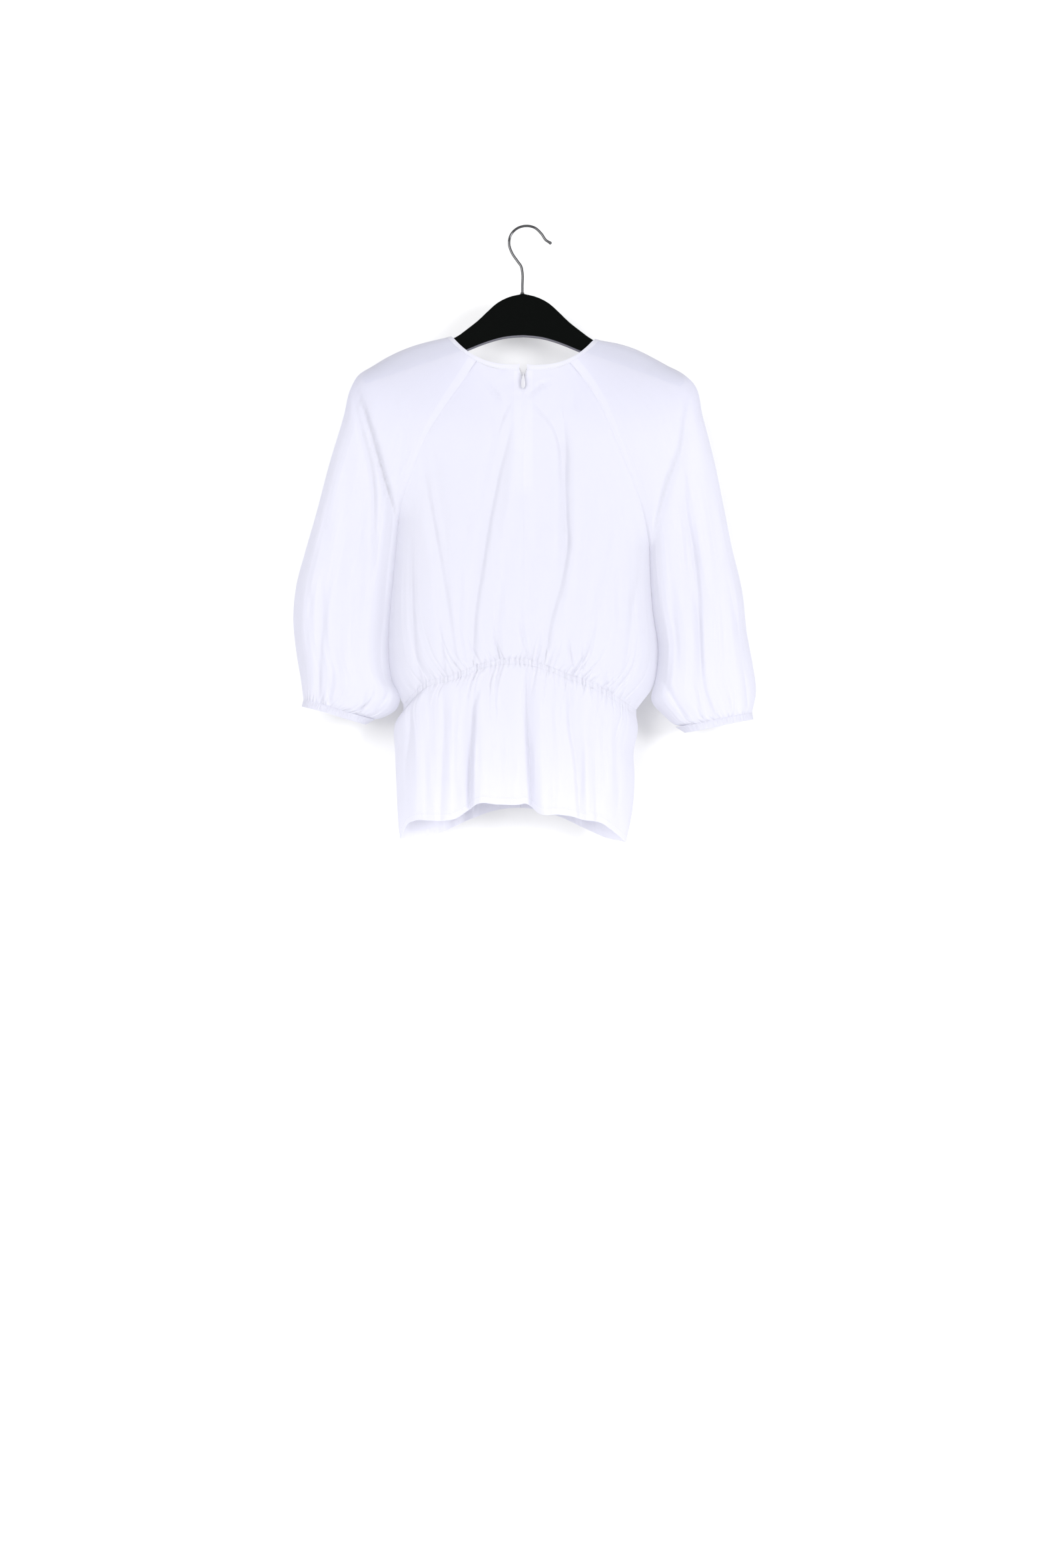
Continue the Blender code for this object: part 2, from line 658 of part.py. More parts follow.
def make_binding():
    """The narrow band around the neck, open at the zip."""
    raglan = RAGLAN_TOP[BACK]
    flat = list(np.linspace(ZIP_SPREAD, raglan, BINDING_FLAT_COLUMNS + 1))
    places = np.linspace(0.5, 1.0, BINDING_TURN_COLUMNS + 1)
    turn = [raglan + (NECK_SEAM_HALF - raglan) * across_sleeve(u, 0.0) for u in places]
    half = flat + turn
    left_back = [(BACK, -x) for x in half]
    left_front = [(FRONT, -x) for x in reversed(half[:-1])]
    right_front = [(FRONT, x) for x in half[:-1]]
    right_back = [(BACK, x) for x in reversed(half)]
    stations = left_back + left_front + [(FRONT, 0.0)] + right_front + right_back

    def station_point(facing, x, t):
        past = max(0.0, abs(x) - RAGLAN_TOP[facing]) / (NECK_SEAM_HALF - RAGLAN_TOP[facing])
        depth = NECK_DEPTH * rounded(past, SHOULDER_ROUND)
        seam = np.array([x, neck_seam_z(facing, x)])
        top_x = x * NECK_TOP_HALF / NECK_SEAM_HALF
        top = np.array([top_x, neck_top_z(facing, top_x)])
        rise = top - seam
        seam = seam + rise * SEAM_GAP / np.linalg.norm(rise)
        place = seam + (top - seam) * t
        return np.array([place[0], facing * depth, place[1]])

    columns = len(stations) - 1
    grid = flat_grid(columns, 1)
    for vertex in grid.verts:
        facing, x = stations[int(round(vertex.co.x))]
        vertex.co = station_point(facing, x, round(vertex.co.y))
    grid.normal_update()
    first = min(grid.faces, key=lambda face: face.calc_center_median().y)
    if first.normal.y > 0:
        bmesh.ops.reverse_faces(grid, faces=grid.faces)
    made = mesh_object("neck_binding", grid, (CLOTH, CLOTH_ROUGH))
    thicken(made, BINDING_WALL, BINDING_OFFSET)


# Zip

def box(shape, size, centre):
    """Add a box of a size at a place to a bmesh."""
    added = bmesh.ops.create_cube(shape, size=1.0)["verts"]
    bmesh.ops.scale(shape, vec=size, verts=added)
    bmesh.ops.translate(shape, vec=centre, verts=added)


def rod(radius, length, centre):
    """A bmesh rod along X."""
    shape = bmesh.new()
    bmesh.ops.create_cone(
        shape, cap_ends=True, segments=ROUND_SIDES, radius1=radius, radius2=radius, depth=length
    )
    for vertex in shape.verts:
        vertex.co = (vertex.co.z, vertex.co.x, -vertex.co.y)
    bmesh.ops.translate(shape, vec=centre, verts=shape.verts)
    bmesh.ops.recalc_face_normals(shape, faces=shape.faces)
    return shape


def cutter(name, shape):
    """A mesh that only cuts or joins, kept out of the part."""
    made = bpy.data.objects.new(name, finished_mesh(name, shape))
    made.hide_render = True
    made.display_type = "WIRE"
    cutters.objects.link(made)
    return made


def combine(made, other, operation):
    step = made.modifiers.new(operation.lower(), "BOOLEAN")
    step.operation = operation
    step.object = other
    return step


def make_tape():
    """Both tapes of the zip, closed, on the inside of the centre back."""
    back, half_width = body_sheet(BACK)
    stops = [t for t in BODY_ROWS if BODY_ROWS[1] <= t <= TAPE_FOOT]

    def place(u, t):
        return back((2 * u - 1) * TAPE_HALF / half_width(t), t, inset=WALL + TAPE_GAP)

    grid = flat_grid(TAPE_COLUMNS, len(stops) - 1)
    sheet("zip_tape", BACK, grid, TAPE_COLUMNS, stops, place, wall=TAPE_WALL)


def slider_face():
    """Where the slider's inner face lies, just outside the cloth."""
    drop = NECK_SEAM_CENTRE[BACK] - SLIDER_Z + SLIDER_SIZE[2] / 2
    t = drop / BACK_LENGTH
    return -body_depth(t) - SLIDER_GAP


def pin_y():
    return slider_face() - SLIDER_SIZE[1] - KNUCKLE_GAP - KNUCKLE_RADIUS


def make_slider():
    """The zip's slider with two ears and the pin that its pull tab turns on."""
    face = slider_face()
    shape = bmesh.new()
    box(shape, SLIDER_SIZE, (0, face - SLIDER_SIZE[1] / 2, SLIDER_Z))
    made = mesh_object("zip_slider", shape, (CLOTH, LACQUER_ROUGH))
    ear_y = face - SLIDER_SIZE[1] + EAR_SEAT - EAR_SIZE[1] / 2
    for side in (LEFT, RIGHT):
        ear = bmesh.new()
        box(ear, EAR_SIZE, (side * EAR_SPREAD, ear_y, PIN_Z))
        combine(made, cutter(f"ear_{SIDE_NAMES[side]}", ear), "UNION")
    pin = rod(PIN_RADIUS, 2 * EAR_SPREAD, (0, pin_y(), PIN_Z))
    combine(made, cutter("pin", pin), "UNION")


def make_pull_tab():
    """The teardrop pull tab, hanging from its knuckle on the slider's pin."""
    profile = smooth(TAB_PROFILE)
    outline = [(profile(stop)[0], -TAB_LENGTH * stop) for stop in TAB_STOPS]
    outline += [(-x, z) for x, z in reversed(outline[:-1])]
    shape = bmesh.new()
    corners = [shape.verts.new((x, -TAB_WALL / 2, z)) for x, z in outline]
    face = shape.faces.new(corners)
    moved = bmesh.ops.extrude_face_region(shape, geom=[face])["geom"]
    far = [item for item in moved if isinstance(item, bmesh.types.BMVert)]
    bmesh.ops.translate(shape, vec=(0, TAB_WALL, 0), verts=far)
    bmesh.ops.recalc_face_normals(shape, faces=shape.faces)
    made = mesh_object("zip_pull_tab", shape, (CLOTH, LACQUER_ROUGH))
    made.location = (0, pin_y() * MM, PIN_Z * MM)
    knuckle = cutter("knuckle", rod(KNUCKLE_RADIUS, 2 * KNUCKLE_HALF, (0, pin_y(), PIN_Z)))
    bore = cutter("knuckle_bore", rod(KNUCKLE_BORE, 4 * KNUCKLE_HALF, (0, pin_y(), PIN_Z)))
    combine(made, knuckle, "UNION")
    combine(made, bore, "DIFFERENCE")


# Hanger and hook

def arm_outline(side):
    """An arm's upper edge, a little below the shoulder line that it carries."""
    line = shoulder_path(side)
    places = [(line(stop * ARM_PART), drop) for stop, drop in ARM_DROP]
    return [(x, z - drop) for (x, z), drop in places]


def make_hanger():
    """A flat contoured hanger with rounded edges, bored for its hook."""
    outline = []
    for side in (RIGHT, LEFT):
        tilt = NECK_TILT / 2 * side
        upper = [(side * x, z - tilt * x) for x, z in HANGER_TOP] + arm_outline(side)
        end = [(side * HANGER_REACH, upper[-1][1] - ARM_END_FALL)]
        lower = [(side * x, z - tilt * x) for x, z in HANGER_FOOT]
        half = upper + end + lower
        outline += half[:-1] if side == RIGHT else list(reversed(half))[:-1]
    curve = bpy.data.curves.new("hanger_outline", "CURVE")
    curve.dimensions = "2D"
    curve.fill_mode = "BOTH"
    curve.extrude = HANGER_HALF_THICK * MM
    spline = curve.splines.new("POLY")
    spline.points.add(len(outline) - 1)
    for point, (x, z) in zip(spline.points, outline):
        point.co = (x * MM, z * MM, 0.0, 1.0)
    spline.use_cyclic_u = True
    flat = bpy.data.objects.new("hanger_outline", curve)
    parts.objects.link(flat)
    mesh = bpy.data.meshes.new_from_object(flat.evaluated_get(bpy.context.evaluated_depsgraph_get()))
    bpy.data.objects.remove(flat)
    shape = bmesh.new()
    shape.from_mesh(mesh)
    bmesh.ops.remove_doubles(shape, verts=shape.verts, dist=1e-6)
    for vertex in shape.verts:
        vertex.co = (vertex.co.x, -vertex.co.z, vertex.co.y)
    bmesh.ops.recalc_face_normals(shape, faces=shape.faces)
    bmesh.ops.dissolve_limit(
        shape, angle_limit=FLAT_ENOUGH, verts=shape.verts, edges=shape.edges
    )
    mesh = bpy.data.meshes.new("hanger")
    shape.to_mesh(mesh)
    shape.free()
    made = add_object("hanger", mesh, (BLACK, BLACK_ROUGH))
    edge = made.modifiers.new("rounded_edge", "BEVEL")
    edge.width = HANGER_ROUND * MM
    edge.segments = 2
    edge.limit_method = "ANGLE"
    edge.angle_limit = EDGE_SHARP
    bore = bmesh.new()
    radius = HOOK_RADIUS + HOOK_BORE_GAP
    depth = 2 * (HOOK_SEAT + HOOK_BORE_GAP)
    bmesh.ops.create_cone(
        bore, cap_ends=True, segments=ROUND_SIDES, radius1=radius, radius2=radius, depth=depth
    )
    bmesh.ops.translate(bore, vec=(HOOK_LINE[0][0], 0, HANGER_TOP[0][1]), verts=bore.verts)
    combine(made, cutter("hook_bore", bore), "DIFFERENCE")


def make_hook():
    """The hanger's wire hook: a shank and a round bend with a small ball at its tip."""
    line = path(HOOK_LINE)
    curve = bpy.data.curves.new("hook", "CURVE")
    curve.dimensions = "3D"
    curve.bevel_depth = HOOK_RADIUS * MM
    curve.bevel_resolution = 2
    curve.use_fill_caps = True
    spline = curve.splines.new("POLY")
    spline.points.add(HOOK_POINTS - 1)
    for index, point in enumerate(spline.points):
        x, z = line(index / (HOOK_POINTS - 1))
        point.co = (x * MM, 0.0, z * MM, 1.0)
    for point in (spline.points[-1], spline.points[-2]):
        point.radius = HOOK_TIP
    curve.materials.append(material("hook", CHROME, CHROME_ROUGH, 1.0))
    made = bpy.data.objects.new("hook", curve)
    parts.objects.link(made)


for old in list(bpy.data.objects):
    bpy.data.objects.remove(old)
parts = bpy.data.collections.new("peplum_top")
cutters = bpy.data.collections.new("cutters")
bpy.context.scene.collection.children.link(parts)
bpy.context.scene.collection.children.link(cutters)

make_bodice()
for face in (BACK, FRONT):
    make_casing(face)
    make_peplum(face)
    for hand in (LEFT, RIGHT):
        make_sleeve(hand, face)
for hand in (LEFT, RIGHT):
    make_cuff(hand)
make_binding()
make_tape()
make_slider()
make_pull_tab()
make_hanger()
make_hook()
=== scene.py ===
"""Peplum top on a hanger: white cotton poplin with raglan balloon sleeves, seen from its back.

Sizes are in millimetres and become metres where meshes are made. +Z is up, the garment's back
faces -Y, and the origin is the inner top of the hanger's hook.
"""

import math
from collections import namedtuple

import bmesh
import bpy
import numpy as np
from mathutils import Matrix, Vector


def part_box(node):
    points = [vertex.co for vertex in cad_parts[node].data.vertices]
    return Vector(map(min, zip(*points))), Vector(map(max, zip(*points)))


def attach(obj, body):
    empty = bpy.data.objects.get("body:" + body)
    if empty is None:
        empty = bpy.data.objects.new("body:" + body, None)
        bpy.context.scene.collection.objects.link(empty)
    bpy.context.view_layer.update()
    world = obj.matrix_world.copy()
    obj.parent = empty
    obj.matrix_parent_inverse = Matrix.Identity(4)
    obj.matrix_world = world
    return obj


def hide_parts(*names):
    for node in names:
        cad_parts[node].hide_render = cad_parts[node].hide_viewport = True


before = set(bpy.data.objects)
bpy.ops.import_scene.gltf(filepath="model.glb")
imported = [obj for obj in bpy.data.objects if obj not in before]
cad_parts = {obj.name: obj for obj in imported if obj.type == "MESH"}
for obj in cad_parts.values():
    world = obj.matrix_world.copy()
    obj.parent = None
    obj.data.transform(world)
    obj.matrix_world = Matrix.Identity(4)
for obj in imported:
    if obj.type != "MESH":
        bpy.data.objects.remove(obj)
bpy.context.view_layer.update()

# Back panels
# Two panels of thin cotton poplin, cut with raglan armholes and joined by the zip at the centre
# back. Their waist is gathered onto the casing, so tucks and long folds run up from it.

MM = 0.001
LEFT, RIGHT = -1, 1
BACK, FRONT = -1, 1
SIDE_NAMES = {LEFT: "left", RIGHT: "right"}
FACE_NAMES = {BACK: "back", FRONT: "front"}
CLOTH_THICK = 0.5
FAR = -99.0

# A neck edge: half its width, its height at the shoulder and at the centre, and how flat it runs
NeckEdge = namedtuple("NeckEdge", "half shoulder centre power")
NECK_SEAM = NeckEdge(91.0, -132.4, {BACK: -171.5, FRONT: -214.5}, {BACK: 2.7, FRONT: 2.4})
NECK_TILT = 0.018
NECK_DEPTH = 11.8
RAGLAN_TOP = {BACK: 55.0, FRONT: 62.0}
RAGLAN_PART = 0.45
RAGLAN_SWELL = 6.0
RAGLAN_ROUND = 6.0
BODY_SWELL = 19.0
BODY_SWELL_POWER = 1.2
BODY_ROUND = 5
SIDE_FADE = 8
SEAM_DENT = 0.35
SEAM_DENT_WIDTH = 1.6
RAGLAN_END_POWER = 0.8
SOFT_FROM, SOFT_OVER = 0.35, 0.95

RAGLAN = {
    LEFT: [(-72, -185), (-95, -217.5), (-115, -250), (-131, -290), (-143, -324), (-148, -347)],
    RIGHT: [(73, -184), (99, -228), (111, -257.5), (123, -286), (137, -322), (150, -378)],
}
BODY_SIDE = {
    LEFT: [(-148, -347), (-153, -403), (-158.5, -460), (-160, -503), (-156, -536), (-142, -566)],
    RIGHT: [(150, -378), (151, -411), (154, -453), (160.5, -505), (156, -540), (134, -572)],
}
WAIST = {
    BACK: [
        (-142, -566), (-122, -545), (-81, -531), (-41, -516), (0, -513), (50, -529),
        (90, -545), (120, -563), (134, -572),
    ],
    FRONT: [
        (-142, -566), (-122, -549), (-81, -537), (-41, -525), (0, -521), (50, -534),
        (90, -549), (120, -565), (134, -572),
    ],
}

# A crease's points are x, z and depth, from its top down; a ridge's depth is negative. Left and
# right are how wide it is to either side, and a sharp one has a low power
Crease = namedtuple("Crease", "points left right power")
BACK_CREASES = [
    Crease([(-12, -231, 0.5), (-19, -262, 2.5), (-27, -296, 3.5), (-38, -350, 4.2), (-47, -402, 4.5),
            (-54, -455, 4.5), (-57, -488, 4), (-58, -512, 3)], 9, 3.5, 1.4),
    Crease([(49, -232, 0.8), (51, -262, 3.4), (51, -300, 5), (52, -340, 5.6), (53.5, -378, 5.5),
            (49.5, -405, 4.5), (43, -437, 4), (35, -467, 3.5), (29, -500, 3)], 13, 3.2, 1.5),
    Crease([(-127, -245, 0.3), (-117, -290, 1.6), (-109, -331, 2.6), (-103, -364, 2.8),
            (-95, -410, 2.6), (-88, -449, 2.4), (-83, -482, 2.4), (-79, -516, 2)], 7, 3.5, 1.5),
    Crease([(-132, -380, 0.4), (-131, -420, 1.8), (-130, -449, 2.4), (-128, -488, 2.2),
            (-121, -540, 2)], 6, 3.5, 1.5),
    Crease([(-21, -380, 0.4), (-22.5, -423, 1.4), (-27, -470, 1.8), (-31, -508, 1.8)], 3.5, 5, 1.6),
    Crease([(3, -375, 0.3), (8, -412, 0.8), (11.5, -449, 0.8), (13, -470, 0.3)], 4, 6, 2),
    Crease([(0, -462, 0.6), (1, -478, 1.8), (3, -498, 1.4), (6, -512, 1)], 2, 4, 1.4),
    Crease([(-70, -400, 0.3), (-72, -440, 1.2), (-72, -488, 1.6), (-69, -512, 1.4)], 5, 3, 1.6),
    Crease([(-97, -470, 0.4), (-95, -498, 1.8), (-93, -526, 1.6)], 4, 2.5, 1.5),
    Crease([(118, -315, 0.3), (112, -350, 1), (103, -388, 1.6), (91, -433, 2), (83, -470, 1.6),
            (77, -505, 0.8)], 5, 6, 1.7),
    Crease([(139, -400, 0.4), (134, -430, 1.6), (129, -456, 2), (124, -498, 1.8), (118, -545, 1.2)],
           4, 6, 1.6),
    Crease([(-48, -174, 0.4), (-38, -188, 1.8), (-28, -202, 2.1), (-20, -212, 0.6)], 3.5, 2.5, 1.5),
    Crease([(36, -183, 0.4), (27, -188, 1.8), (19, -192.5, 2.0), (13, -198, 1.5), (9, -201.5, 1.2),
            (3, -203, 0.4)], 3.4, 1.8, 1.5),
    Crease([(9, -206, 0.6), (24, -222, 1.6), (36, -237, 2), (41, -250, 2.2), (45, -268, 2.4),
            (46, -300, 1)], 2.5, 9, 1.5),
    Crease([(-14, -214, 0.6), (-20, -223, 1.6), (-26, -237, 1.2), (-30, -250, 0.3)], 6, 2, 1.5),
    Crease([(-37, -212, 0.3), (-38, -232, 1.2), (-36, -252, 1.4), (-42, -290, 1.8), (-48, -320, 1.0),
            (-52, -350, 0.3)], 5, 6, 1.8),
    Crease([(-68, -182, 0.3), (-78, -199, 1.0), (-93, -221, 1.0), (-98, -232, 0.2)], 2, 3.5, 1.5),
    Crease([(60, -180, 0.2), (62, -196, 1.1), (60, -212, 1.3), (66, -224, 0.4)], 4, 6, 1.8),
    Crease([(66, -210, 0.3), (84, -212, 1.0), (98, -232, 0.6)], 7, 7, 2),
    Crease([(-108, -262, 0.3), (-104, -290, 1.0), (-97, -330, 1.2), (-89, -380, 0.9),
            (-84, -420, 0.3)], 5, 6, 1.9),
    Crease([(88, -262, 0.2), (84, -310, 0.8), (78, -360, 1.1), (72, -410, 1.0), (66, -460, 1.0),
            (63, -500, 0.8)], 6, 5, 1.9),
    Crease([(24, -300, 0.2), (20, -350, 0.9), (16, -400, 0.8), (15, -440, 0.2)], 8, 8, 2),
    Crease([(-58, -300, 0.2), (-64, -350, 0.8), (-67, -390, 0.6)], 7, 7, 2),
    Crease([(57, -490, 0.3), (56, -499, 2.0), (57, -512, 2.2), (60, -527, 1.2)], 2.6, 1.6, 1.4),
    Crease([(70, -491, 0.4), (71, -504, 1.6), (70, -518, 1.8), (70, -532, 1.4)], 1.8, 3.4, 1.5),
    Crease([(99, -527, 0.4), (98, -538, 2.0), (100, -552, 2.2)], 2.4, 1.6, 1.4),
    Crease([(106, -529, 0.4), (106, -541, 1.6), (104, -554, 1.8)], 1.6, 2.6, 1.5),
    Crease([(-14, -188, 0.8), (-8, -186.5, 1.0), (-3, -186, 0.3)], 1.3, 1.8, 1.5),
    Crease([(-13, -203, 0.6), (-7, -202, 1.0), (0, -202.5, 0.3)], 1.3, 1.8, 1.5),
    Crease([(-11, -209, 0.5), (-6, -209, 0.8), (-2, -209, 0.3)], 1.3, 1.5, 1.5),
    Crease([(0, -236, 0.4), (6, -239, 0.9), (11, -241, 0.4)], 1.3, 1.6, 1.5),
    Crease([(-16, -176, 0.3), (-27, -171, 1.0), (-42, -168, 0.4)], 2, 2, 1.6),
    Crease([(18, -178, 0.3), (30, -174, 0.9), (46, -168, 0.3)], 2, 2, 1.6),
    Crease([(45, -262, 0), (44, -300, -1.6), (43, -345, -1.8), (40, -390, -1.0), (36, -420, 0)],
           7, 7, 2),
    Crease([(-5, -240, -0.4), (-9, -290, -1.6), (-16, -340, -2.0), (-22, -372, -1.0)], 7, 9, 2),
    Crease([(63, -250, -0.3), (63, -300, -1.5), (64, -350, -1.6), (62, -400, -1.2), (52, -450, -1.0),
            (42, -500, -0.8)], 5, 9, 2),
]
WAIST_GATHERS = 54
WAIST_TUCKS = {BACK: 5, FRONT: 6}


def table(rows):
    """A smooth function through table rows, read by their first column."""
    rows = np.array(rows, float)
    marks, values = rows[:, 0], rows[:, 1:]
    slopes = np.gradient(values, marks, axis=0)

    def read(where):
        where = np.clip(np.asarray(where, float), marks[0], marks[-1])
        cell = np.clip(np.searchsorted(marks, where, side="right") - 1, 0, len(marks) - 2)
        span = (marks[cell + 1] - marks[cell])[..., None]
        k = (where - marks[cell])[..., None] / span
        ease = k * k * (3 - 2 * k)
        start = values[cell] * (1 - ease) + slopes[cell] * span * k * (1 - k) ** 2
        end = values[cell + 1] * ease - slopes[cell + 1] * span * k * k * (1 - k)
        return start + end

    return read


def path(points):
    """A smooth curve through points, read from 0 to 1 along its length in the picture plane."""
    points = np.array(points, float)
    steps = np.linalg.norm(np.diff(points[:, :2], axis=0), axis=1)
    marks = np.concatenate([[0.0], np.cumsum(steps)]) / steps.sum()
    return table(np.column_stack([marks, points]))


def by_x(points, gap=0.0):
    """A smooth edge read from -1 at its left end to 1 at its right end, in step with x."""
    heights = table(points)
    left, right = points[0][0], points[-1][0]

    def read(s):
        s = np.asarray(s, float)
        x = np.where(s < 0, -s * left, s * right)
        return np.stack([x, heights(x)[..., 0] + gap], axis=-1)

    return read


def laid(top, foot, first, last, s, t):
    """Points of a four-sided sheet: s from its first side to its last, t from top to foot."""
    s, t = np.broadcast_arrays(s, t)
    across, down = s[..., None], t[..., None]
    sides = (1 - across) * first(t) + across * last(t)
    ends = (1 - down) * top(s) + down * foot(s)
    upper = (1 - down) * ((1 - across) * first(0.0) + across * last(0.0))
    lower = down * ((1 - across) * first(1.0) + across * last(1.0))
    return sides + ends - upper - lower


def rounded(s, power):
    """A section's half depth from 1 at its middle to 0 at its edge, where two faces meet in a seam."""
    return np.maximum(0.0, 1 - np.abs(s) ** power)


def off_line(points, x, z):
    """Each place's nearest point on a line, as a part of its length, and how far to the right it is."""
    best, part, side = np.full(x.shape, np.inf), np.zeros(x.shape), np.ones(x.shape)
    for index, (start, end) in enumerate(zip(points[:-1], points[1:])):
        run, fall = end[:2] - start[:2]
        along = ((x - start[0]) * run + (z - start[1]) * fall) / (run * run + fall * fall)
        along = np.clip(along, 0.0, 1.0)
        right, up = x - start[0] - along * run, z - start[1] - along * fall
        gap = np.hypot(right, up)
        closer = gap < best
        best = np.where(closer, gap, best)
        part = np.where(closer, (index + along) / (len(points) - 1), part)
        side = np.where(closer, np.where(run * up - fall * right < 0, -1.0, 1.0), side)
    return part, best * side


CREASE_POINTS = 18
CREASE_REACH = 3.0


def creased(creases, x, z):
    """How far in the creases draw the cloth at each place."""
    total = np.zeros(x.shape)
    for crease in creases:
        line = path(crease.points)(np.linspace(0, 1, CREASE_POINTS))
        room = CREASE_REACH * max(crease.left, crease.right)
        low, high = line[:, :2].min(axis=0) - room, line[:, :2].max(axis=0) + room
        near = (x > low[0]) & (x < high[0]) & (z > low[1]) & (z < high[1])
        if not near.any():
            continue
        part, gap = off_line(line, x[near], z[near])
        depth = np.interp(part, np.linspace(0, 1, CREASE_POINTS), line[:, 2])
        width = np.where(gap < 0, crease.left, crease.right)
        total[near] += depth * np.exp(-(np.abs(gap) / width) ** crease.power)
    return total


FRONT_STEP = (6.0, -6.0)


def mirrored(creases):
    """Like creases for the garment's other face, moved a little so that the faces differ."""
    step_x, step_z = FRONT_STEP
    turned = []
    for crease in creases:
        points = [(step_x - x, step_z + z, depth) for x, z, depth in crease.points]
        turned.append(Crease(points, crease.right, crease.left, crease.power))
    return turned


def uneven(u, t, seed, rise, across, down):
    """A smooth random field from -rise to rise over a sheet, with so many waves across and down."""
    values = rise * np.random.default_rng(seed).uniform(-1, 1, (down + 2, across + 2))
    a, b = np.clip(u, 0, 1) * across, np.clip(t, 0, 1) * down
    i, j = a.astype(int), b.astype(int)
    p, q = a - i, b - j
    p, q = p * p * (3 - 2 * p), q * q * (3 - 2 * q)
    upper = values[j, i] * (1 - p) + values[j, i + 1] * p
    lower = values[j + 1, i] * (1 - p) + values[j + 1, i + 1] * p
    return upper * (1 - q) + lower * q


TUCK_WIDTH = 0.15
TUCK_WIDTH_SPREAD = (0.7, 1.6)
TUCK_DEPTH_SPREAD = (0.35, 1.0)
TUCK_POWER = 1.4
TUCK_WANDER = 0.35
TUCK_LEAN = 0.6
TUCK_SHORTEST = 3.0
TUCK_LENGTH_POWER = 2.6


def gathers(u, drop, count, seeds, rise, reach):
    """Tucks drawn up by a seam: narrow valleys, each fading at its own length.

    The first seed places the tucks, which the pieces on both sides of a seam share.
    """
    places, random = (np.random.default_rng(seed) for seed in seeds)
    total = np.zeros(np.broadcast(u, drop).shape)
    for tuck in range(count + 1):
        centre = (tuck + places.uniform(-TUCK_WANDER, TUCK_WANDER)) / count
        width = TUCK_WIDTH * places.uniform(*TUCK_WIDTH_SPREAD)
        depth = rise * places.uniform(*TUCK_DEPTH_SPREAD)
        length = TUCK_SHORTEST + reach * random.uniform(0.0, 1.0) ** TUCK_LENGTH_POWER
        lean = random.uniform(-TUCK_LEAN, TUCK_LEAN)
        away = (u - centre) * count - lean * drop / length
        total -= depth * np.exp(-(np.abs(away) / width) ** TUCK_POWER - (drop / length) ** 2)
    return total


def eased(k):
    """From 0 to 1 with a smooth start and end."""
    k = np.clip(k, 0.0, 1.0)
    return k * k * k * (10 - 15 * k + 6 * k * k)


def marked(pucker, double=FAR, over_arm=FAR):
    """The numbers that the cloth's finish reads at each point.

    They say how far inside doubled cloth a place is, how far inside the hanger's outline, where
    the finish paints the shade of the hanger's arms, and how strongly the cloth is puckered there.
    """
    return {"double": double, "over_arm": over_arm, "puckered": pucker}


PUCKER_REACH = 11.0
PUCKER_LEAST = 0.12


def puckered(drop):
    """How much of the fine puckering by a gathered seam is left at a distance from it."""
    return np.exp(-((drop / PUCKER_REACH) ** 2)) + PUCKER_LEAST


def neck_point(facing, x, edge=NECK_SEAM):
    """A neck edge at x, by default the seam under the binding."""
    rise = np.minimum(np.abs(x) / edge.half, 1.0) ** edge.power[facing]
    z = edge.centre[facing] + (edge.shoulder - edge.centre[facing]) * rise - NECK_TILT * x
    return np.stack(np.broadcast_arrays(np.asarray(x, float), z), axis=-1)


def raglan_path(side, facing):
    """The raglan seam from the neck to the underarm; the front's starts lower."""
    start = tuple(neck_point(facing, side * RAGLAN_TOP[facing]))
    lower = RAGLAN[side] if facing == BACK else RAGLAN[side][1:]
    return path([start] + lower)


def joined(upper, lower):
    """One edge from the raglan seam and the edge below it."""
    def read(t):
        t = np.asarray(t, float)
        above = upper(np.minimum(t / RAGLAN_PART, 1.0))
        below = lower(np.maximum((t - RAGLAN_PART) / (1 - RAGLAN_PART), 0.0))
        return np.where((t <= RAGLAN_PART)[..., None], above, below)

    return read


def raglan_depth(t):
    """The raglan seam's depth, which runs out at the underarm."""
    q = np.minimum(t / RAGLAN_PART, 1.0)
    return (NECK_DEPTH + RAGLAN_SWELL * q) * (1 - q ** RAGLAN_ROUND) ** RAGLAN_END_POWER


def soft_depth(t):
    """A depth like the raglan seam's that fades slowly, for the cloth away from the seam."""
    q = t / RAGLAN_PART
    return (NECK_DEPTH + RAGLAN_SWELL * q) * (1 - eased((q - SOFT_FROM) / SOFT_OVER))


def body_depth(t):
    """The depth of the body's middle, fuller towards the waist."""
    return NECK_DEPTH + BODY_SWELL * (1 - (1 - t) ** 2) ** BODY_SWELL_POWER


def even_spacing(half_width, depth):
    """Places from the middle of a rounded section to its edge, evenly spaced along its surface."""
    s = np.sin(np.linspace(0, math.pi / 2, 400))
    y = depth * rounded(s, BODY_ROUND)
    steps = np.hypot(np.diff(s * half_width), np.diff(y))
    marks = np.concatenate([[0.0], np.cumsum(steps)]) / steps.sum()
    return lambda u: np.copysign(np.interp(np.abs(u), marks, s), u)


WAIST_HALF = 146.0
SPACING_POWER = 3
BLEND_PART = 0.6
AT_SEAM = 12
across_waist = even_spacing(WAIST_HALF, NECK_DEPTH + BODY_SWELL)


def across_body(u, t):
    """From the middle to a side: even in plan at the neck, and along the surface by the waist."""
    even = t ** SPACING_POWER
    return (1 - even) * np.sin(math.pi / 2 * u) + even * across_waist(u)


STREAKS = {"rise": 0.55, "across": 74, "down": 3}
SWAYS = {"rise": 1.1, "across": 15, "down": 4}
STREAK_GROWTH = 1.5
GATHER_RISE = 2.0
GATHER_REACH = 55.0


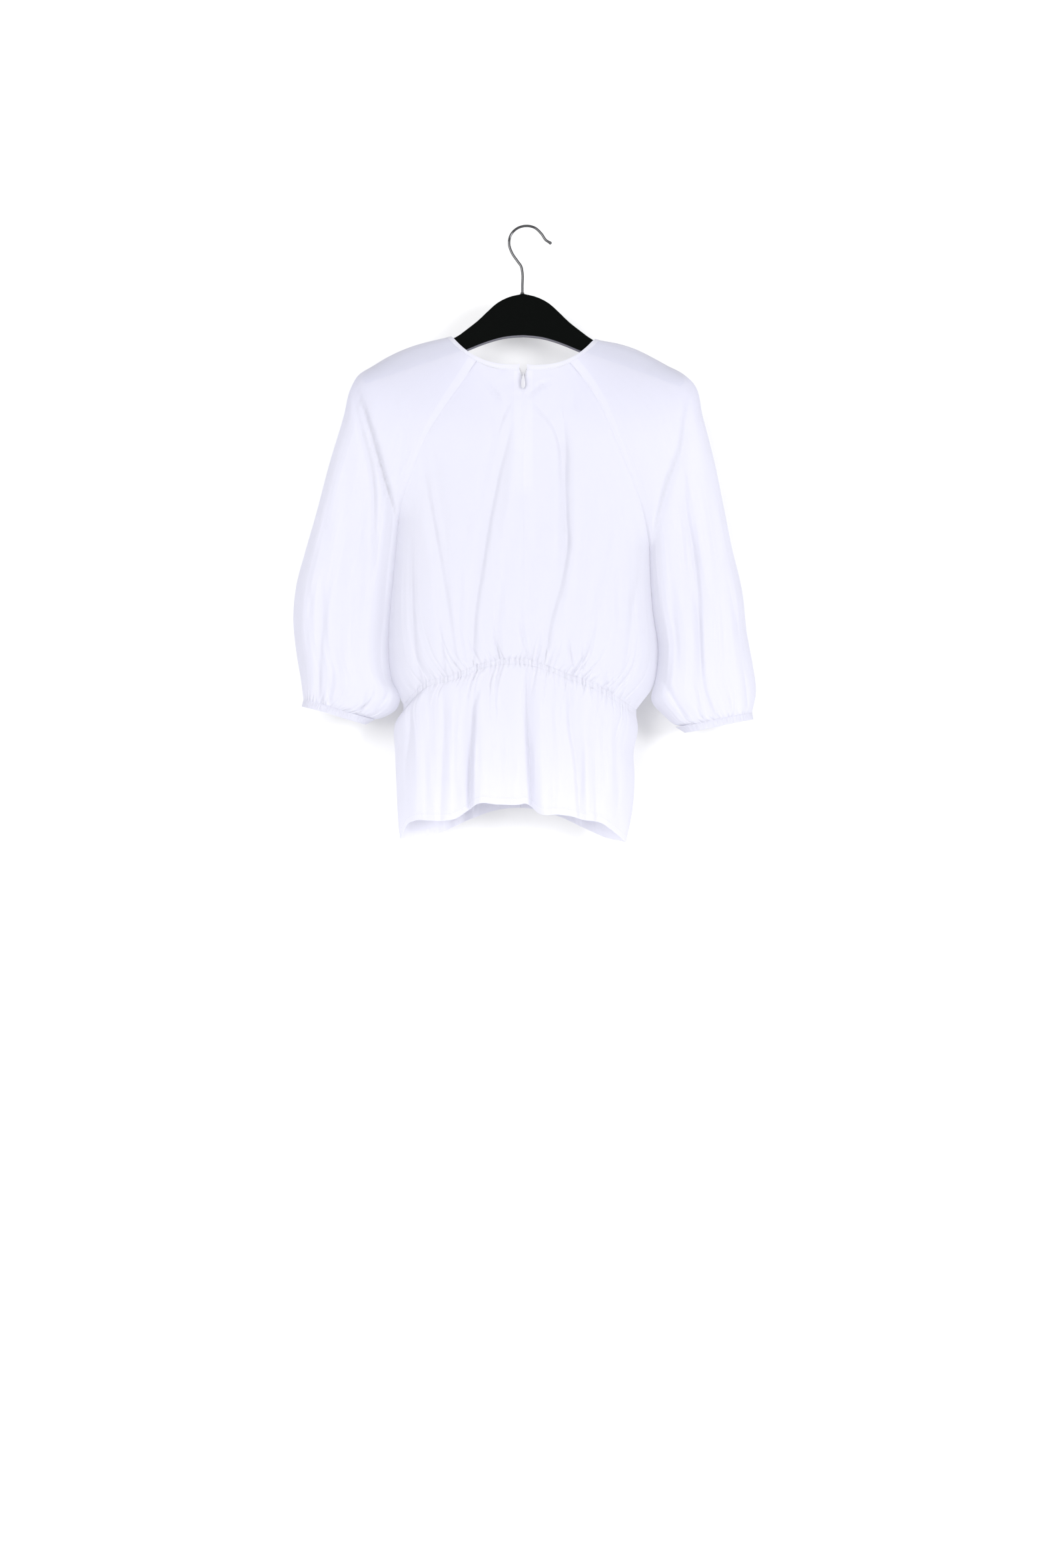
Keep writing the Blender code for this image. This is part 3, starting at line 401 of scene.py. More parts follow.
def body_panel(facing, seed):
    """A bodice face, w from -1 at the left to 1 at the right and t from neck to waist."""
    waist = by_x(WAIST[facing])
    sides = {side: joined(raglan_path(side, facing), path(BODY_SIDE[side])) for side in (LEFT, RIGHT)}
    creases = BACK_CREASES if facing == BACK else mirrored(BACK_CREASES)

    def place(w, t):
        s = across_body(w, t)
        flat = laid(
            lambda k: neck_point(facing, (2 * k - 1) * RAGLAN_TOP[facing]),
            lambda k: waist(2 * k - 1), sides[LEFT], sides[RIGHT], (s + 1) / 2, t,
        )
        x, z = flat[..., 0], flat[..., 1]
        blend = eased(t / BLEND_PART)
        crown = (1 - blend) * (1 - s * s) + blend * rounded(s, BODY_ROUND)
        depth = body_depth(t) * crown + soft_depth(t) * (1 - crown)
        depth = depth + (raglan_depth(t) - soft_depth(t)) * np.abs(s) ** AT_SEAM
        side_fade = 1 - np.abs(s) ** SIDE_FADE
        half_width = (sides[RIGHT](t)[..., 0] - sides[LEFT](t)[..., 0]) / 2
        to_side = (1 - np.abs(s)) * half_width
        drop = np.maximum(z - waist(s)[..., 1], 0.0)
        u = (w + 1) / 2
        fold = -creased(creases, x, z)
        fold += uneven(u, t, seed, **STREAKS) * t ** STREAK_GROWTH
        fold += uneven(u, t, seed + 1, **SWAYS) * t
        seeds = (WAIST_TUCKS[facing], seed + 2)
        fold += gathers(u, drop, WAIST_GATHERS, seeds, GATHER_RISE, GATHER_REACH)
        depth = depth + fold * side_fade
        depth = depth - SEAM_DENT * np.exp(-(to_side / SEAM_DENT_WIDTH) ** 2) * (t < RAGLAN_PART)
        return x, facing * np.maximum(depth, 0.0), z, drop

    return place


def mesh_from(name, shape):
    """A mesh with a shape's faces; the shape itself is let go."""
    mesh = bpy.data.meshes.new(name)
    shape.to_mesh(mesh)
    shape.free()
    return mesh


def grid_mesh(name, columns, stops, place):
    """A flat grid moved to its place, u from 0 to 1 across and t from its row stops."""
    rows = len(stops) - 1
    grid = bmesh.new()
    bmesh.ops.create_grid(grid, x_segments=columns, y_segments=rows, size=0.5)
    for edge in grid.edges:
        edge.smooth = not edge.is_boundary
    mesh = mesh_from(name, grid)
    flat = np.empty(3 * len(mesh.vertices), np.float32)
    mesh.vertices.foreach_get("co", flat)
    flat = flat.reshape(-1, 3)
    u = np.rint((flat[:, 0] + 0.5) * columns) / columns
    t = stops[np.rint((flat[:, 1] + 0.5) * rows).astype(int)]
    points, marks = place(u, t)
    mesh.vertices.foreach_set("co", (np.array(points).T * MM).astype(np.float32).ravel())
    mesh.update()
    for mark, values in marks.items():
        layer = mesh.attributes.new(mark, "FLOAT", "POINT")
        layer.data.foreach_set("value", np.broadcast_to(values, u.shape).astype(np.float32))
    return mesh


def add_piece(name, mesh, finish, body="top"):
    """Put a finished mesh into the scene with its finish, riding on a body."""
    mesh.materials.append(finish)
    mesh.shade_smooth()
    made = bpy.data.objects.new(name, mesh)
    bpy.context.scene.collection.objects.link(made)
    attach(made, body)
    return made


def face_outwards(mesh, facing):
    """Turn the faces so that they look away from the middle plane."""
    normals, areas = np.empty(3 * len(mesh.polygons)), np.empty(len(mesh.polygons))
    mesh.polygons.foreach_get("normal", normals)
    mesh.polygons.foreach_get("area", areas)
    if (normals.reshape(-1, 3)[:, 1] * areas).sum() * facing < 0:
        mesh.flip_normals()


def thicken(piece, thick, offset=-1.0):
    """Give a sheet its thickness, by default all of it inside its face."""
    wall = piece.modifiers.new("thickness", "SOLIDIFY")
    wall.thickness = thick * MM
    wall.offset = offset


def cloth_piece(name, node, mesh, facing, finish):
    """A sheet of cloth with its thickness inside its face, standing for a plain solid."""
    face_outwards(mesh, facing)
    made = add_piece(name, mesh, finish)
    thicken(made, CLOTH_THICK)
    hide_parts(node)
    return made


class Wire:
    """A value in a finish's node tree, used in sums and products like a number."""

    def __init__(self, finish, socket):
        self.finish, self.socket = finish, socket

    def maths(self, operation, first, second):
        return self.finish.node("ShaderNodeMath", {"operation": operation}, {0: first, 1: second})

    def __add__(self, other):
        return self.maths("ADD", self, other)

    def __sub__(self, other):
        return self.maths("SUBTRACT", self, other)

    def __rsub__(self, other):
        return self.maths("SUBTRACT", other, self)

    def __mul__(self, other):
        return self.maths("MULTIPLY", self, other)

    __radd__, __rmul__ = __add__, __mul__


class Finish:
    """A material with one main shader, and ways to add nodes to it."""

    def __init__(self, name, colour, rough, settings=None):
        self.material = bpy.data.materials.new(name)
        self.material.use_nodes = True
        self.tree = self.material.node_tree
        self.shader = self.tree.nodes["Principled BSDF"]
        self.shader.inputs["Base Color"].default_value = (*colour, 1.0)
        self.shader.inputs["Roughness"].default_value = rough
        for socket, value in (settings or {}).items():
            self.shader.inputs[socket].default_value = value

    def node(self, kind, settings=None, values=None, out=0):
        made = self.tree.nodes.new(kind)
        for setting, value in (settings or {}).items():
            setattr(made, setting, value)
        for socket, value in (values or {}).items():
            self.put(made.inputs[socket], value)
        return Wire(self, made.outputs[out])

    def put(self, socket, value):
        if isinstance(value, Wire):
            self.tree.links.new(value.socket, socket)
        else:
            socket.default_value = value

    def feed(self, name, value):
        self.put(self.shader.inputs[name], value)

    def mark(self, name):
        """A number kept at each point of the mesh."""
        return self.node("ShaderNodeAttribute", {"attribute_name": name}, out="Fac")

    def step(self, value, low, high):
        """0 below low, 1 above high and smooth between them."""
        values = {"Value": value, "From Min": low, "From Max": high}
        return self.node("ShaderNodeMapRange", {"interpolation_type": "SMOOTHSTEP"}, values)

    def mix(self, share, first, second):
        """A colour between two, each given as three parts or as a wire."""
        first, second = (end if isinstance(end, Wire) else (*end, 1.0) for end in (first, second))
        values = {"Factor": share, 6: first, 7: second}
        return self.node("ShaderNodeMix", {"data_type": "RGBA"}, values, out=2)

    def wave(self, value):
        return self.node("ShaderNodeMath", {"operation": "SINE"}, {0: value})

    def place(self):
        return self.node("ShaderNodeTexCoord", out="Object")

    def along(self, axis):
        """How far along an axis each place lies, in metres."""
        return self.node("ShaderNodeSeparateXYZ", values={0: self.place()}, out=axis)

    def noise(self, scale, detail=2.0, place=None):
        """A random pattern, by default in the piece's own box."""
        values = {"Scale": scale, "Detail": detail}
        if place is not None:
            values["Vector"] = place
        return self.node("ShaderNodeTexNoise", values=values)

    def roughen(self, low, high, pattern):
        """Vary the roughness between two values with a pattern."""
        self.feed("Roughness", pattern * (high - low) + low)

    def bump(self, height, strength, rise):
        """Roughen the surface with a pattern, so high in millimetres."""
        values = {"Height": height, "Strength": strength, "Distance": rise * MM}
        self.feed("Normal", self.node("ShaderNodeBump", values=values))

    def blend(self, share, other):
        """Mix another shader into the surface."""
        own = Wire(self, self.shader.outputs[0])
        mixed = self.node("ShaderNodeMixShader", values={0: share, 1: own, 2: other})
        self.put(self.tree.nodes["Material Output"].inputs["Surface"], mixed)


POPLIN = (0.865, 0.865, 0.918)
POPLIN_DOUBLE = (0.89, 0.89, 0.935)
# Painted shade where the dark hanger's arms lie behind the cloth
POPLIN_ARM_SHADE = (0.765, 0.77, 0.865)
# Painted shade: the cloth is darkened near the top, around the hanger, fading out lower down
POPLIN_TOP_SHADE = (0.785, 0.785, 0.875)
DOUBLE_EDGE, DOUBLE_SHARE = (-0.3, 0.5), 0.55
ARM_SHADE_EDGE, ARM_SHADE_SHARE = (-0.5, 1.2), 0.95
TOP_SHADE_FROM, TOP_SHADE_TO, TOP_SHADE_SHARE = -265.0, -165.0, 0.75
TONE_SPREAD = 0.03
SLUB_TONE, WEAVE_TONE = 0.05, 0.015
POPLIN_ROUGH = 0.78
POPLIN_SETTINGS = {"Specular IOR Level": 0.25, "Sheen Weight": 0.12, "Sheen Roughness": 0.5}
THROUGH = 0.53
YARN = 2 * math.pi / (0.42 * MM)
YARN_RISE = 0.02
YARN_BUMP = 0.35
SLUB_SCALE = 90.0
RIPPLE_SCALE = 330.0
RIPPLE_STRETCH = (1.0, 1.0, 0.16)
RIPPLE_SHARE = 60.0


def poplin(name, colour=POPLIN):
    """Thin white cotton, paler where double, with painted shade over the hanger's arms and at the top.
    """
    finish = Finish(name, colour, POPLIN_ROUGH, POPLIN_SETTINGS)
    place = finish.place()
    weave = finish.wave(finish.along("X") * YARN) * finish.wave(finish.along("Z") * YARN)
    slubs = finish.noise(SLUB_SCALE, 3.0, place)
    shade = (slubs - 0.5) * SLUB_TONE + weave * WEAVE_TONE + 0.5
    darker = [part * (1 - TONE_SPREAD) for part in colour]
    paler = [min(1.0, part * (1 + TONE_SPREAD)) for part in colour]
    # Painted shade near the top of the garment, fading out downwards
    top_shade = finish.step(finish.along("Z"), TOP_SHADE_FROM * MM, TOP_SHADE_TO * MM)
    # Painted shade over the hanger's arms behind the cloth
    over_arm = finish.step(finish.mark("over_arm"), *ARM_SHADE_EDGE)
    double = finish.step(finish.mark("double"), *DOUBLE_EDGE)
    tone = finish.mix(shade, darker, paler)
    tone = finish.mix(top_shade * TOP_SHADE_SHARE, tone, POPLIN_TOP_SHADE)
    tone = finish.mix(over_arm * ARM_SHADE_SHARE, tone, POPLIN_ARM_SHADE)
    tone = finish.mix(double * DOUBLE_SHARE, tone, POPLIN_DOUBLE)
    finish.feed("Base Color", tone)
    stretched = finish.node("ShaderNodeMapping", values={"Vector": place, "Scale": RIPPLE_STRETCH})
    ripples = finish.noise(RIPPLE_SCALE, place=stretched) * finish.mark("puckered")
    height = weave * 0.5 + slubs * 0.5 + ripples * RIPPLE_SHARE
    finish.bump(height, YARN_BUMP, YARN_RISE)
    finish.blend(THROUGH, finish.node("ShaderNodeBsdfTranslucent", values={"Color": (*colour, 1.0)}))
    return finish.material


white_poplin = poplin("white_poplin")

BACK_COLUMNS = 225
BODY_STOPS = np.concatenate([np.linspace(0, 0.86, 86), np.linspace(0.86, 1.0, 34)[1:]])
TAPE_HALF = 11.0
TAPE_FOOT = -268.0
TAPE_END = -310.0
ZIP_SPREAD = 4.5
ZIP_OPEN = 0.035
SEAM_PARTED = 0.01
CENTRE_DENT = 0.12
CENTRE_DENT_WIDTH = 1.2
BODY_SEEDS = {BACK: 3, FRONT: 11}

back_panel = body_panel(BACK, BODY_SEEDS[BACK])
seam_drift = back_panel(np.zeros(len(BODY_STOPS)), BODY_STOPS)[0]
for side in (LEFT, RIGHT):
    def place(u, t, side=side):
        x, y, z, drop = back_panel(side * u, t)
        x = x - np.interp(t, BODY_STOPS, seam_drift) * (1 - u) ** 2
        parted = SEAM_PARTED + ZIP_SPREAD * np.maximum(0.0, 1 - t / ZIP_OPEN)
        x = x + side * parted * (1 - u)
        y = y + CENTRE_DENT * np.exp(-((x / CENTRE_DENT_WIDTH) ** 2))
        on_tape = np.where(z > TAPE_FOOT, TAPE_HALF - np.abs(x), FAR)
        end = np.minimum(np.minimum(x, TAPE_HALF - x), z - TAPE_END)
        return (x, y, z), marked(puckered(drop), double=np.maximum(on_tape, end))

    name = SIDE_NAMES[side]
    mesh = grid_mesh(f"cloth_back_{name}", BACK_COLUMNS, BODY_STOPS, place)
    piece = cloth_piece(f"cloth_back_{name}", f"bodice_back_{name}", mesh, BACK, white_poplin)

# Front panel
# One panel of the same cloth, cut with a lower neckline and raglan armholes, sewn to the back
# panels at its sides and gathered onto the casing like them.

FRONT_COLUMNS = 270
front_panel = body_panel(FRONT, BODY_SEEDS[FRONT])


def place_front(u, t):
    x, y, z, drop = front_panel(2 * u - 1, t)
    return (x, y, z), marked(puckered(drop))


mesh = grid_mesh("cloth_front", FRONT_COLUMNS, BODY_STOPS, place_front)
piece = cloth_piece("cloth_front", "bodice_front", mesh, FRONT, white_poplin)

# Sleeves
# Each balloon sleeve is cut in two panels, sewn along the shoulder and down the overarm, and set
# into the raglan seams. The allowances show through them, and where the dark hanger's arms lie
# behind them the cloth is painted with their shade.

UNDERARM = {
    LEFT: [
        (-147.6, -347), (-152.6, -403), (-158.1, -460), (-159.6, -503), (-155.8, -536),
        (-146, -561), (-150, -571), (-160, -578.5), (-173, -583), (-184.5, -581.5),
    ],
    RIGHT: [
        (149.6, -378), (150.6, -411), (153.6, -453), (160.1, -505), (156.5, -537),
        (152, -561), (167, -579), (181, -590), (190, -591),
    ],
}
OVERARM = {
    LEFT: [
        (-103, -133.5), (-131, -141), (-155, -151), (-179, -165), (-196, -176), (-204, -190),
        (-213, -225), (-229, -278), (-246, -342), (-259, -387), (-269, -425), (-272.5, -465),
        (-269, -503), (-263, -540), (-260.5, -560),
    ],
    RIGHT: [
        (111, -137.5), (131, -143.5), (151, -153), (171, -164), (190, -174), (202, -185),
        (213, -225), (226, -275), (237, -328), (247, -378), (260, -434), (265, -480),
        (272, -518), (276, -552), (271.5, -575),
    ],
}
CUFF_LINE = {
    LEFT: [(-184.5, -581.5), (-209, -574.5), (-236, -566), (-260.5, -560)],
    RIGHT: [(190, -591), (215, -586.5), (245, -580), (271.5, -575)],
}
SLEEVE_FULLNESS = table([
    (0.0, 0.0), (0.2, 3.0), (0.45, 15.0), (0.6, 21.0), (0.78, 27.0), (0.9, 25.0), (1.0, 14.0),
])
CUFF_DEPTH = 14.0
CUFF_HALF = 42.0
CUFF_SPACING = 1.4
SLEEVE_CREASES = {
    LEFT: [
        Crease([(-200, -188, 1), (-189, -213, 4), (-179, -243, 5), (-169, -279, 5.4), (-159, -314, 5),
                (-150, -342, 4)], 6, 2.2, 1.3),
        Crease([(-203, -189, 0.6), (-195, -224, 2.2), (-187, -252, 3), (-180, -276, 3.2),
                (-176, -305, 3.2), (-175, -350, 2.4), (-175, -410, 0.5)], 4, 2.4, 1.4),
        Crease([(-237, -415, 0.3), (-236, -440, 2), (-236, -468, 2.8), (-239, -513, 2.4),
                (-240, -560, 2)], 5, 3.5, 1.5),
        Crease([(-252, -425, 0.3), (-251, -445, 1.6), (-253, -470, 0.8),
                (-254, -500, 0.3)], 3, 3, 1.5), Crease([(-268, -440, 0.3), (-266, -470, 1.4),

 (-266, -495, 0.3)], 3, 3, 1.5), Crease([(-224, -520, 0.3), (-226, -540, 1.6),
                                         (-229, -564, 1.8)], 3, 4, 1.5), Crease([(-184, -550, 0.4),
                                                                                 (-189, -566, 2),

 (-197, -578, 1.6)], 3, 3, 1.5), Crease([(-155, -543, 0.4), (-162, -558, 1.8),
                                         (-172, -572, 1.2)], 3, 3, 1.5), Crease([(-204, -250, 0.2),
                                                                                 (-208, -300, 1.0),
                                                                                 (-212, -360, 1.4),
                                                                                 (-214, -420, 1.2),
                                                                                 (-213, -480, 0.8),

 (-212, -530, 0.3)], 8, 8, 1.9), Crease([(-228, -330, 0.2), (-234, -370, 1.0),
                                         (-238, -400, 0.3)], 6, 6, 1.9), Crease([(-190, -330, 0.2),
                                                                                 (-192, -390, 1.1),
                                                                                 (-192, -450, 1.4),

 (-194, -500, 0.8)], 9, 6, 1.9), Crease([(-206, -470, -0.2), (-206, -500, -1.6),
                                         (-208, -540, -1.2)], 9, 9, 2), Crease([(-139, -215, 0.2),
                                                                                (-137, -250, 1.4),
                                                                                (-139, -280, 1.4),

 (-143, -305, 0.6)], 4, 4, 1.6), Crease([(-160, -310, 0.3), (-155, -340, 2.2), (-160, -400, 2.6),
                                         (-165, -460, 2.4), (-168, -520, 1.8),
                                         (-160, -550, 0.6)], 7, 4, 1.7), ],
    RIGHT: [
        Crease([(199, -190, 0.6), (191, -225, 2.4), (183, -272, 4), (172, -298, 4.4),
                (164, -324, 4.2), (156, -357, 3), (152, -376, 2)], 2, 8, 1.4),
        Crease([(190, -275, 0.3), (191, -310, 1.8), (193, -342, 2.8), (199, -372, 3.4),
                (204, -410, 3.6),
                (207, -453, 3.8), (208.5, -500, 3.6), (213, -548, 3.2), (225, -582, 2)], 6.5, 3.2, 1.5),
        Crease([(193, -380, 0.3), (193, -415, 1.4), (194, -450, 0.4)], 5, 4, 1.7),
        Crease([(240, -415, 0.3), (245, -440, 1.6), (251, -465, 1.8), (257, -495, 0.6)], 6, 4, 1.7),
        Crease([(160, -530, 0.5), (170, -548, 2.6), (180, -564, 2.4), (193, -582, 1.6)], 4, 4, 1.5),
        Crease([(258, -516, 0.4), (262, -540, 1.8), (265, -568, 1.6)], 3, 3, 1.5),
        Crease([(202, -532, 0.4), (207, -555, 1.6), (212, -580, 1.6)], 3, 3, 1.5),
        Crease([(236, -540, 0.4), (241, -560, 1.6), (247, -578, 1.4)], 3, 3, 1.5),
        Crease([(216, -260, 0.2), (222, -320, 1.0), (229, -380, 1.2), (236, -430, 0.3)], 7, 7, 1.9),
        Crease([(176, -400, 0.2), (176, -440, 1.4), (180, -500, 1.6), (184, -545, 0.6)], 6, 6, 1.8),
        Crease([(206, -300, -0.2), (214, -360, -1.6), (222, -430, -1.8), (230, -510, -1.2)], 9, 8, 2),
    ],
}
SHOULDER_ROUND = 14.0
OUTER_AT_UNDERARM = 0.52
SLEEVE_FOLD_DEPTH = {BACK: 1.3, FRONT: 1.04}
SLEEVE_STREAKS = {"rise": 0.55, "across": 34, "down": 4}
SLEEVE_SWAYS = {"rise": 1.1, "across": 8, "down": 6}
STREAKS_FULL_AT, SWAYS_FULL_AT = 1 / 1.6, 1 / 1.3
ALLOWANCE = {"top": 12.0, "foot": 3.0, "until": 0.36}
CUFF_GATHERS = 23
CUFF_GATHER_SIZE = (2.2, 36.0)
SLEEVE_COLUMNS = 136
SLEEVE_SEED = 20
SLEEVE_STOPS = np.concatenate([
    np.linspace(0, 0.1, 12), np.linspace(0.1, 0.9, 92)[1:], np.linspace(0.9, 1.0, 26)[1:],
])

HANGER_REACH = 191.5
ARM_PART = 0.235
ARM_END_FALL = 7.0
EDGE_POINTS = 34
HANGER_TOP = [(0, -79.3), (16, -83), (30, -90), (42, -100.5), (54, -112), (66, -121.5), (79, -131)]
HANGER_FOOT = [
    (186, -190), (84, -153.5), (67, -147.4), (48, -139.7), (36, -135.6), (24, -132.4), (12, -130.7),
    (0, -130),
]
ARM_DROP = [(0.0, 4.4), (0.12, 4.0), (0.3, 4.2), (0.5, 4.2), (0.7, 3.4), (0.8, 3.4), (0.87, 4.0)]
across_cuff = even_spacing(CUFF_HALF, CUFF_SPACING * CUFF_DEPTH)


def across_shoulder(u):
    """Places across a sleeve's top, closer at both of its seams."""
    return (1 - np.cos(math.pi * u)) / 2


def shoulder_path(side):
    """The outer edge of a sleeve: along the shoulder and down the overarm seam to the cuff."""
    start = tuple(neck_point(BACK, side * NECK_SEAM.half))
    return path([start] + OVERARM[side])


def hanger_outline():
    """The hanger's outline, the arms' upper edges a little below the shoulder line."""
    outline = []
    for side in (RIGHT, LEFT):
        tilt = NECK_TILT / 2 * side
        line = shoulder_path(side)
        upper = [(side * x, z - tilt * x) for x, z in HANGER_TOP]
        for stop, drop in ARM_DROP:
            x, z = line(stop * ARM_PART)
            upper.append((x, z - drop))
        end = (side * HANGER_REACH, upper[-1][1] - ARM_END_FALL)
        lower = [(side * x, z - tilt * x) for x, z in HANGER_FOOT]
        upper = path(upper)(np.linspace(0, 1, EDGE_POINTS))
        lower = path(lower)(np.linspace(0, 1, EDGE_POINTS))
        half = [*upper, np.array(end), *lower]
        outline += half[:-1] if side == RIGHT else half[::-1][:-1]
    return np.array(outline)


def inside_outline(outline, x, z):
    """How far inside a closed outline each place lies; negative outside."""
    closed = np.vstack([outline, outline[:1]])
    gap = np.abs(off_line(closed, x, z)[1])
    within = np.zeros(x.shape, bool)
    for (x0, z0), (x1, z1) in zip(closed[:-1], closed[1:]):
        if z0 == z1:
            continue
        crosses = ((z0 > z) != (z1 > z)) & (x < (x1 - x0) * (z - z0) / (z1 - z0) + x0)
        within ^= crosses
    return np.where(within, gap, -gap)


outline = hanger_outline()


def sleeve_panel(side, facing, seed):
    """One face of a raglan sleeve, u from its raglan and underarm seams to its overarm seam."""
    inner = joined(raglan_path(side, facing), path(UNDERARM[side]))
    overarm = shoulder_path(side)
    cuff = path(CUFF_LINE[side])
    creases = SLEEVE_CREASES[side]

    def outer(t):
        above = np.minimum(t, RAGLAN_PART) * OUTER_AT_UNDERARM / RAGLAN_PART
        rest = np.maximum(t - RAGLAN_PART, 0.0) / (1 - RAGLAN_PART)
        return overarm(above + rest * (1 - OUTER_AT_UNDERARM))

    def top(s):
        start = RAGLAN_TOP[facing]
        return neck_point(facing, side * (start + (NECK_SEAM.half - start) * s))

    def place(u, t):
        s = (1 - t) * across_shoulder(u) + t * (1 + across_cuff(2 * u - 1)) / 2
        flat = laid(top, cuff, inner, outer, s, t)
        x, z = flat[..., 0], flat[..., 1]
        width = np.linalg.norm(outer(t) - inner(t), axis=-1)
        blend = eased(t / BLEND_PART)
        full = (1 - blend) * np.sin(math.pi * s) + blend * rounded(2 * s - 1, BODY_ROUND)
        depth = soft_depth(t) * rounded(s, SHOULDER_ROUND) + SLEEVE_FULLNESS(t)[..., 0] * full
        depth = depth + (raglan_depth(t) - soft_depth(t)) * (1 - s) ** AT_SEAM
        edge = 1 - np.abs(2 * s - 1) ** SIDE_FADE
        drop = np.maximum(z - cuff(s)[..., 1], 0.0)
        fold = -creased(creases, x, z) * SLEEVE_FOLD_DEPTH[facing]
        fold += uneven(u, t, seed, **SLEEVE_STREAKS) * np.minimum(1.0, t / STREAKS_FULL_AT)
        fold += uneven(u, t, seed + 1, **SLEEVE_SWAYS) * np.minimum(1.0, t / SWAYS_FULL_AT)
        fold += gathers(u, drop, CUFF_GATHERS, (seed, seed + 2), *CUFF_GATHER_SIZE)
        depth = depth + fold * edge
        dent = SEAM_DENT * np.exp(-((s * width / SEAM_DENT_WIDTH) ** 2))
        depth = depth - dent * (t < RAGLAN_PART)
        part = np.clip(t / ALLOWANCE["until"], 0.0, 1.0)
        wide = ALLOWANCE["top"] * (1 - part) + ALLOWANCE["foot"] * part
        double = np.where(t < ALLOWANCE["until"], wide - s * width, FAR)
        marks = marked(puckered(drop), double, inside_outline(outline, x, z))
        return (x, facing * np.maximum(depth, 0.0), z), marks

    return place


for side in (LEFT, RIGHT):
    for facing in (BACK, FRONT):
        name = f"{SIDE_NAMES[side]}_{FACE_NAMES[facing]}"
        place = sleeve_panel(side, facing, SLEEVE_SEED + 4 * side + facing)
        mesh = grid_mesh(f"cloth_sleeve_{name}", SLEEVE_COLUMNS, SLEEVE_STOPS, place)
        piece = cloth_piece(f"cloth_sleeve_{name}", f"sleeve_{name}", mesh, facing, white_poplin)

# Neck binding
# A folded strip of the same cloth around the neck edge, open at the zip, with one row of stitches
# along its lower edge.

NECK_TOP = NeckEdge(85.3, -131.0, {BACK: -165.0, FRONT: -208.0}, {BACK: 3.1, FRONT: 2.5})
BINDING_THICK = 1.5
BINDING_PROUD = 0.35
BINDING_ROLL = 0.6
BINDING_OFFSET = -0.6
BINDING_EDGE = 0.35
BINDING_ROWS = 8
BINDING_FLAT_COLUMNS, BINDING_TURN_COLUMNS = 30, 50
BINDING_TURN_FROM = 0.3
BINDING_PUCKER = 0.3
WELL_INSIDE = 20.0
SHOULDER_LEAN = 0.35
LEAST_STEP = 0.4
ZIP_END_LIFT = 1.2
ZIP_END_WIDTH = 3.0
NECK_STITCHES_AT = 0.16
NECK_STITCHES_OUT = 0.75
STITCH = {"length": 2.1, "gap": 0.7, "radius": 0.13}
STITCH_LIFT = 0.4
STITCH_RINGS = [(-0.5, 0.3), (-0.32, 1.0), (0.32, 1.0), (0.5, 0.3)]
STITCH_SIDES = 6
THREAD_WHITE = (0.72, 0.72, 0.78)

thread = Finish("white_thread", THREAD_WHITE, 0.7)
thread.roughen(0.5, 0.7, thread.noise(2500.0))


def stitched(name, line, out):
    """A row of separate stitches along a line of points, standing out of the cloth."""
    steps = np.linalg.norm(np.diff(line, axis=0), axis=1)
    marks = np.concatenate([[0.0], np.cumsum(steps)])
    pitch = STITCH["length"] + STITCH["gap"]
    shape = bmesh.new()
    for start in np.arange(pitch / 2, marks[-1] - pitch, pitch):
        ends = [np.array([np.interp(at, marks, line[:, k]) for k in range(3)])
                for at in (start, start + STITCH["length"])]
        along = Vector(ends[1] - ends[0])
        if along.length == 0:
            continue
        along.normalize()
        up = Vector(out(ends[0])).normalized()
        across = along.cross(up).normalized()
        middle = Vector((ends[0] + ends[1]) / 2) + up * STITCH["radius"] * STITCH_LIFT
        rings = []
        for part, size in STITCH_RINGS:
            centre = middle + along * part * STITCH["length"]
            ring = []
            for corner in range(STITCH_SIDES):
                turn = 2 * math.pi * corner / STITCH_SIDES
                radial = across * math.cos(turn) + up * math.sin(turn)
                ring.append(shape.verts.new((centre + radial * STITCH["radius"] * size) * MM))
            rings.append(ring)
        for lower, upper in zip(rings[:-1], rings[1:]):
            for corner in range(STITCH_SIDES):
                following = (corner + 1) % STITCH_SIDES
                shape.faces.new((lower[corner], lower[following], upper[following], upper[corner]))
        shape.faces.new(reversed(rings[0]))
        shape.faces.new(rings[-1])
    bmesh.ops.recalc_face_normals(shape, faces=shape.faces)
    made = add_piece(name, mesh_from(name, shape), thread.material)
    return made


raglan = RAGLAN_TOP[BACK]
flat_part = np.linspace(ZIP_SPREAD, raglan, BINDING_FLAT_COLUMNS)
turn_places = across_shoulder(np.linspace(BINDING_TURN_FROM, 1.0, BINDING_TURN_COLUMNS))
turn_part = raglan + (NECK_SEAM.half - raglan) * turn_places
half = np.concatenate([flat_part, turn_part[turn_part > raglan + LEAST_STEP]])
station_x = np.concatenate([-half, -half[-2::-1], half[1:-1], half[::-1]])
turn_count = len(half)
station_face = np.concatenate([
    np.full(turn_count, BACK), np.full(turn_count - 1, FRONT),
    np.full(turn_count - 2, FRONT), np.full(turn_count, BACK),
])


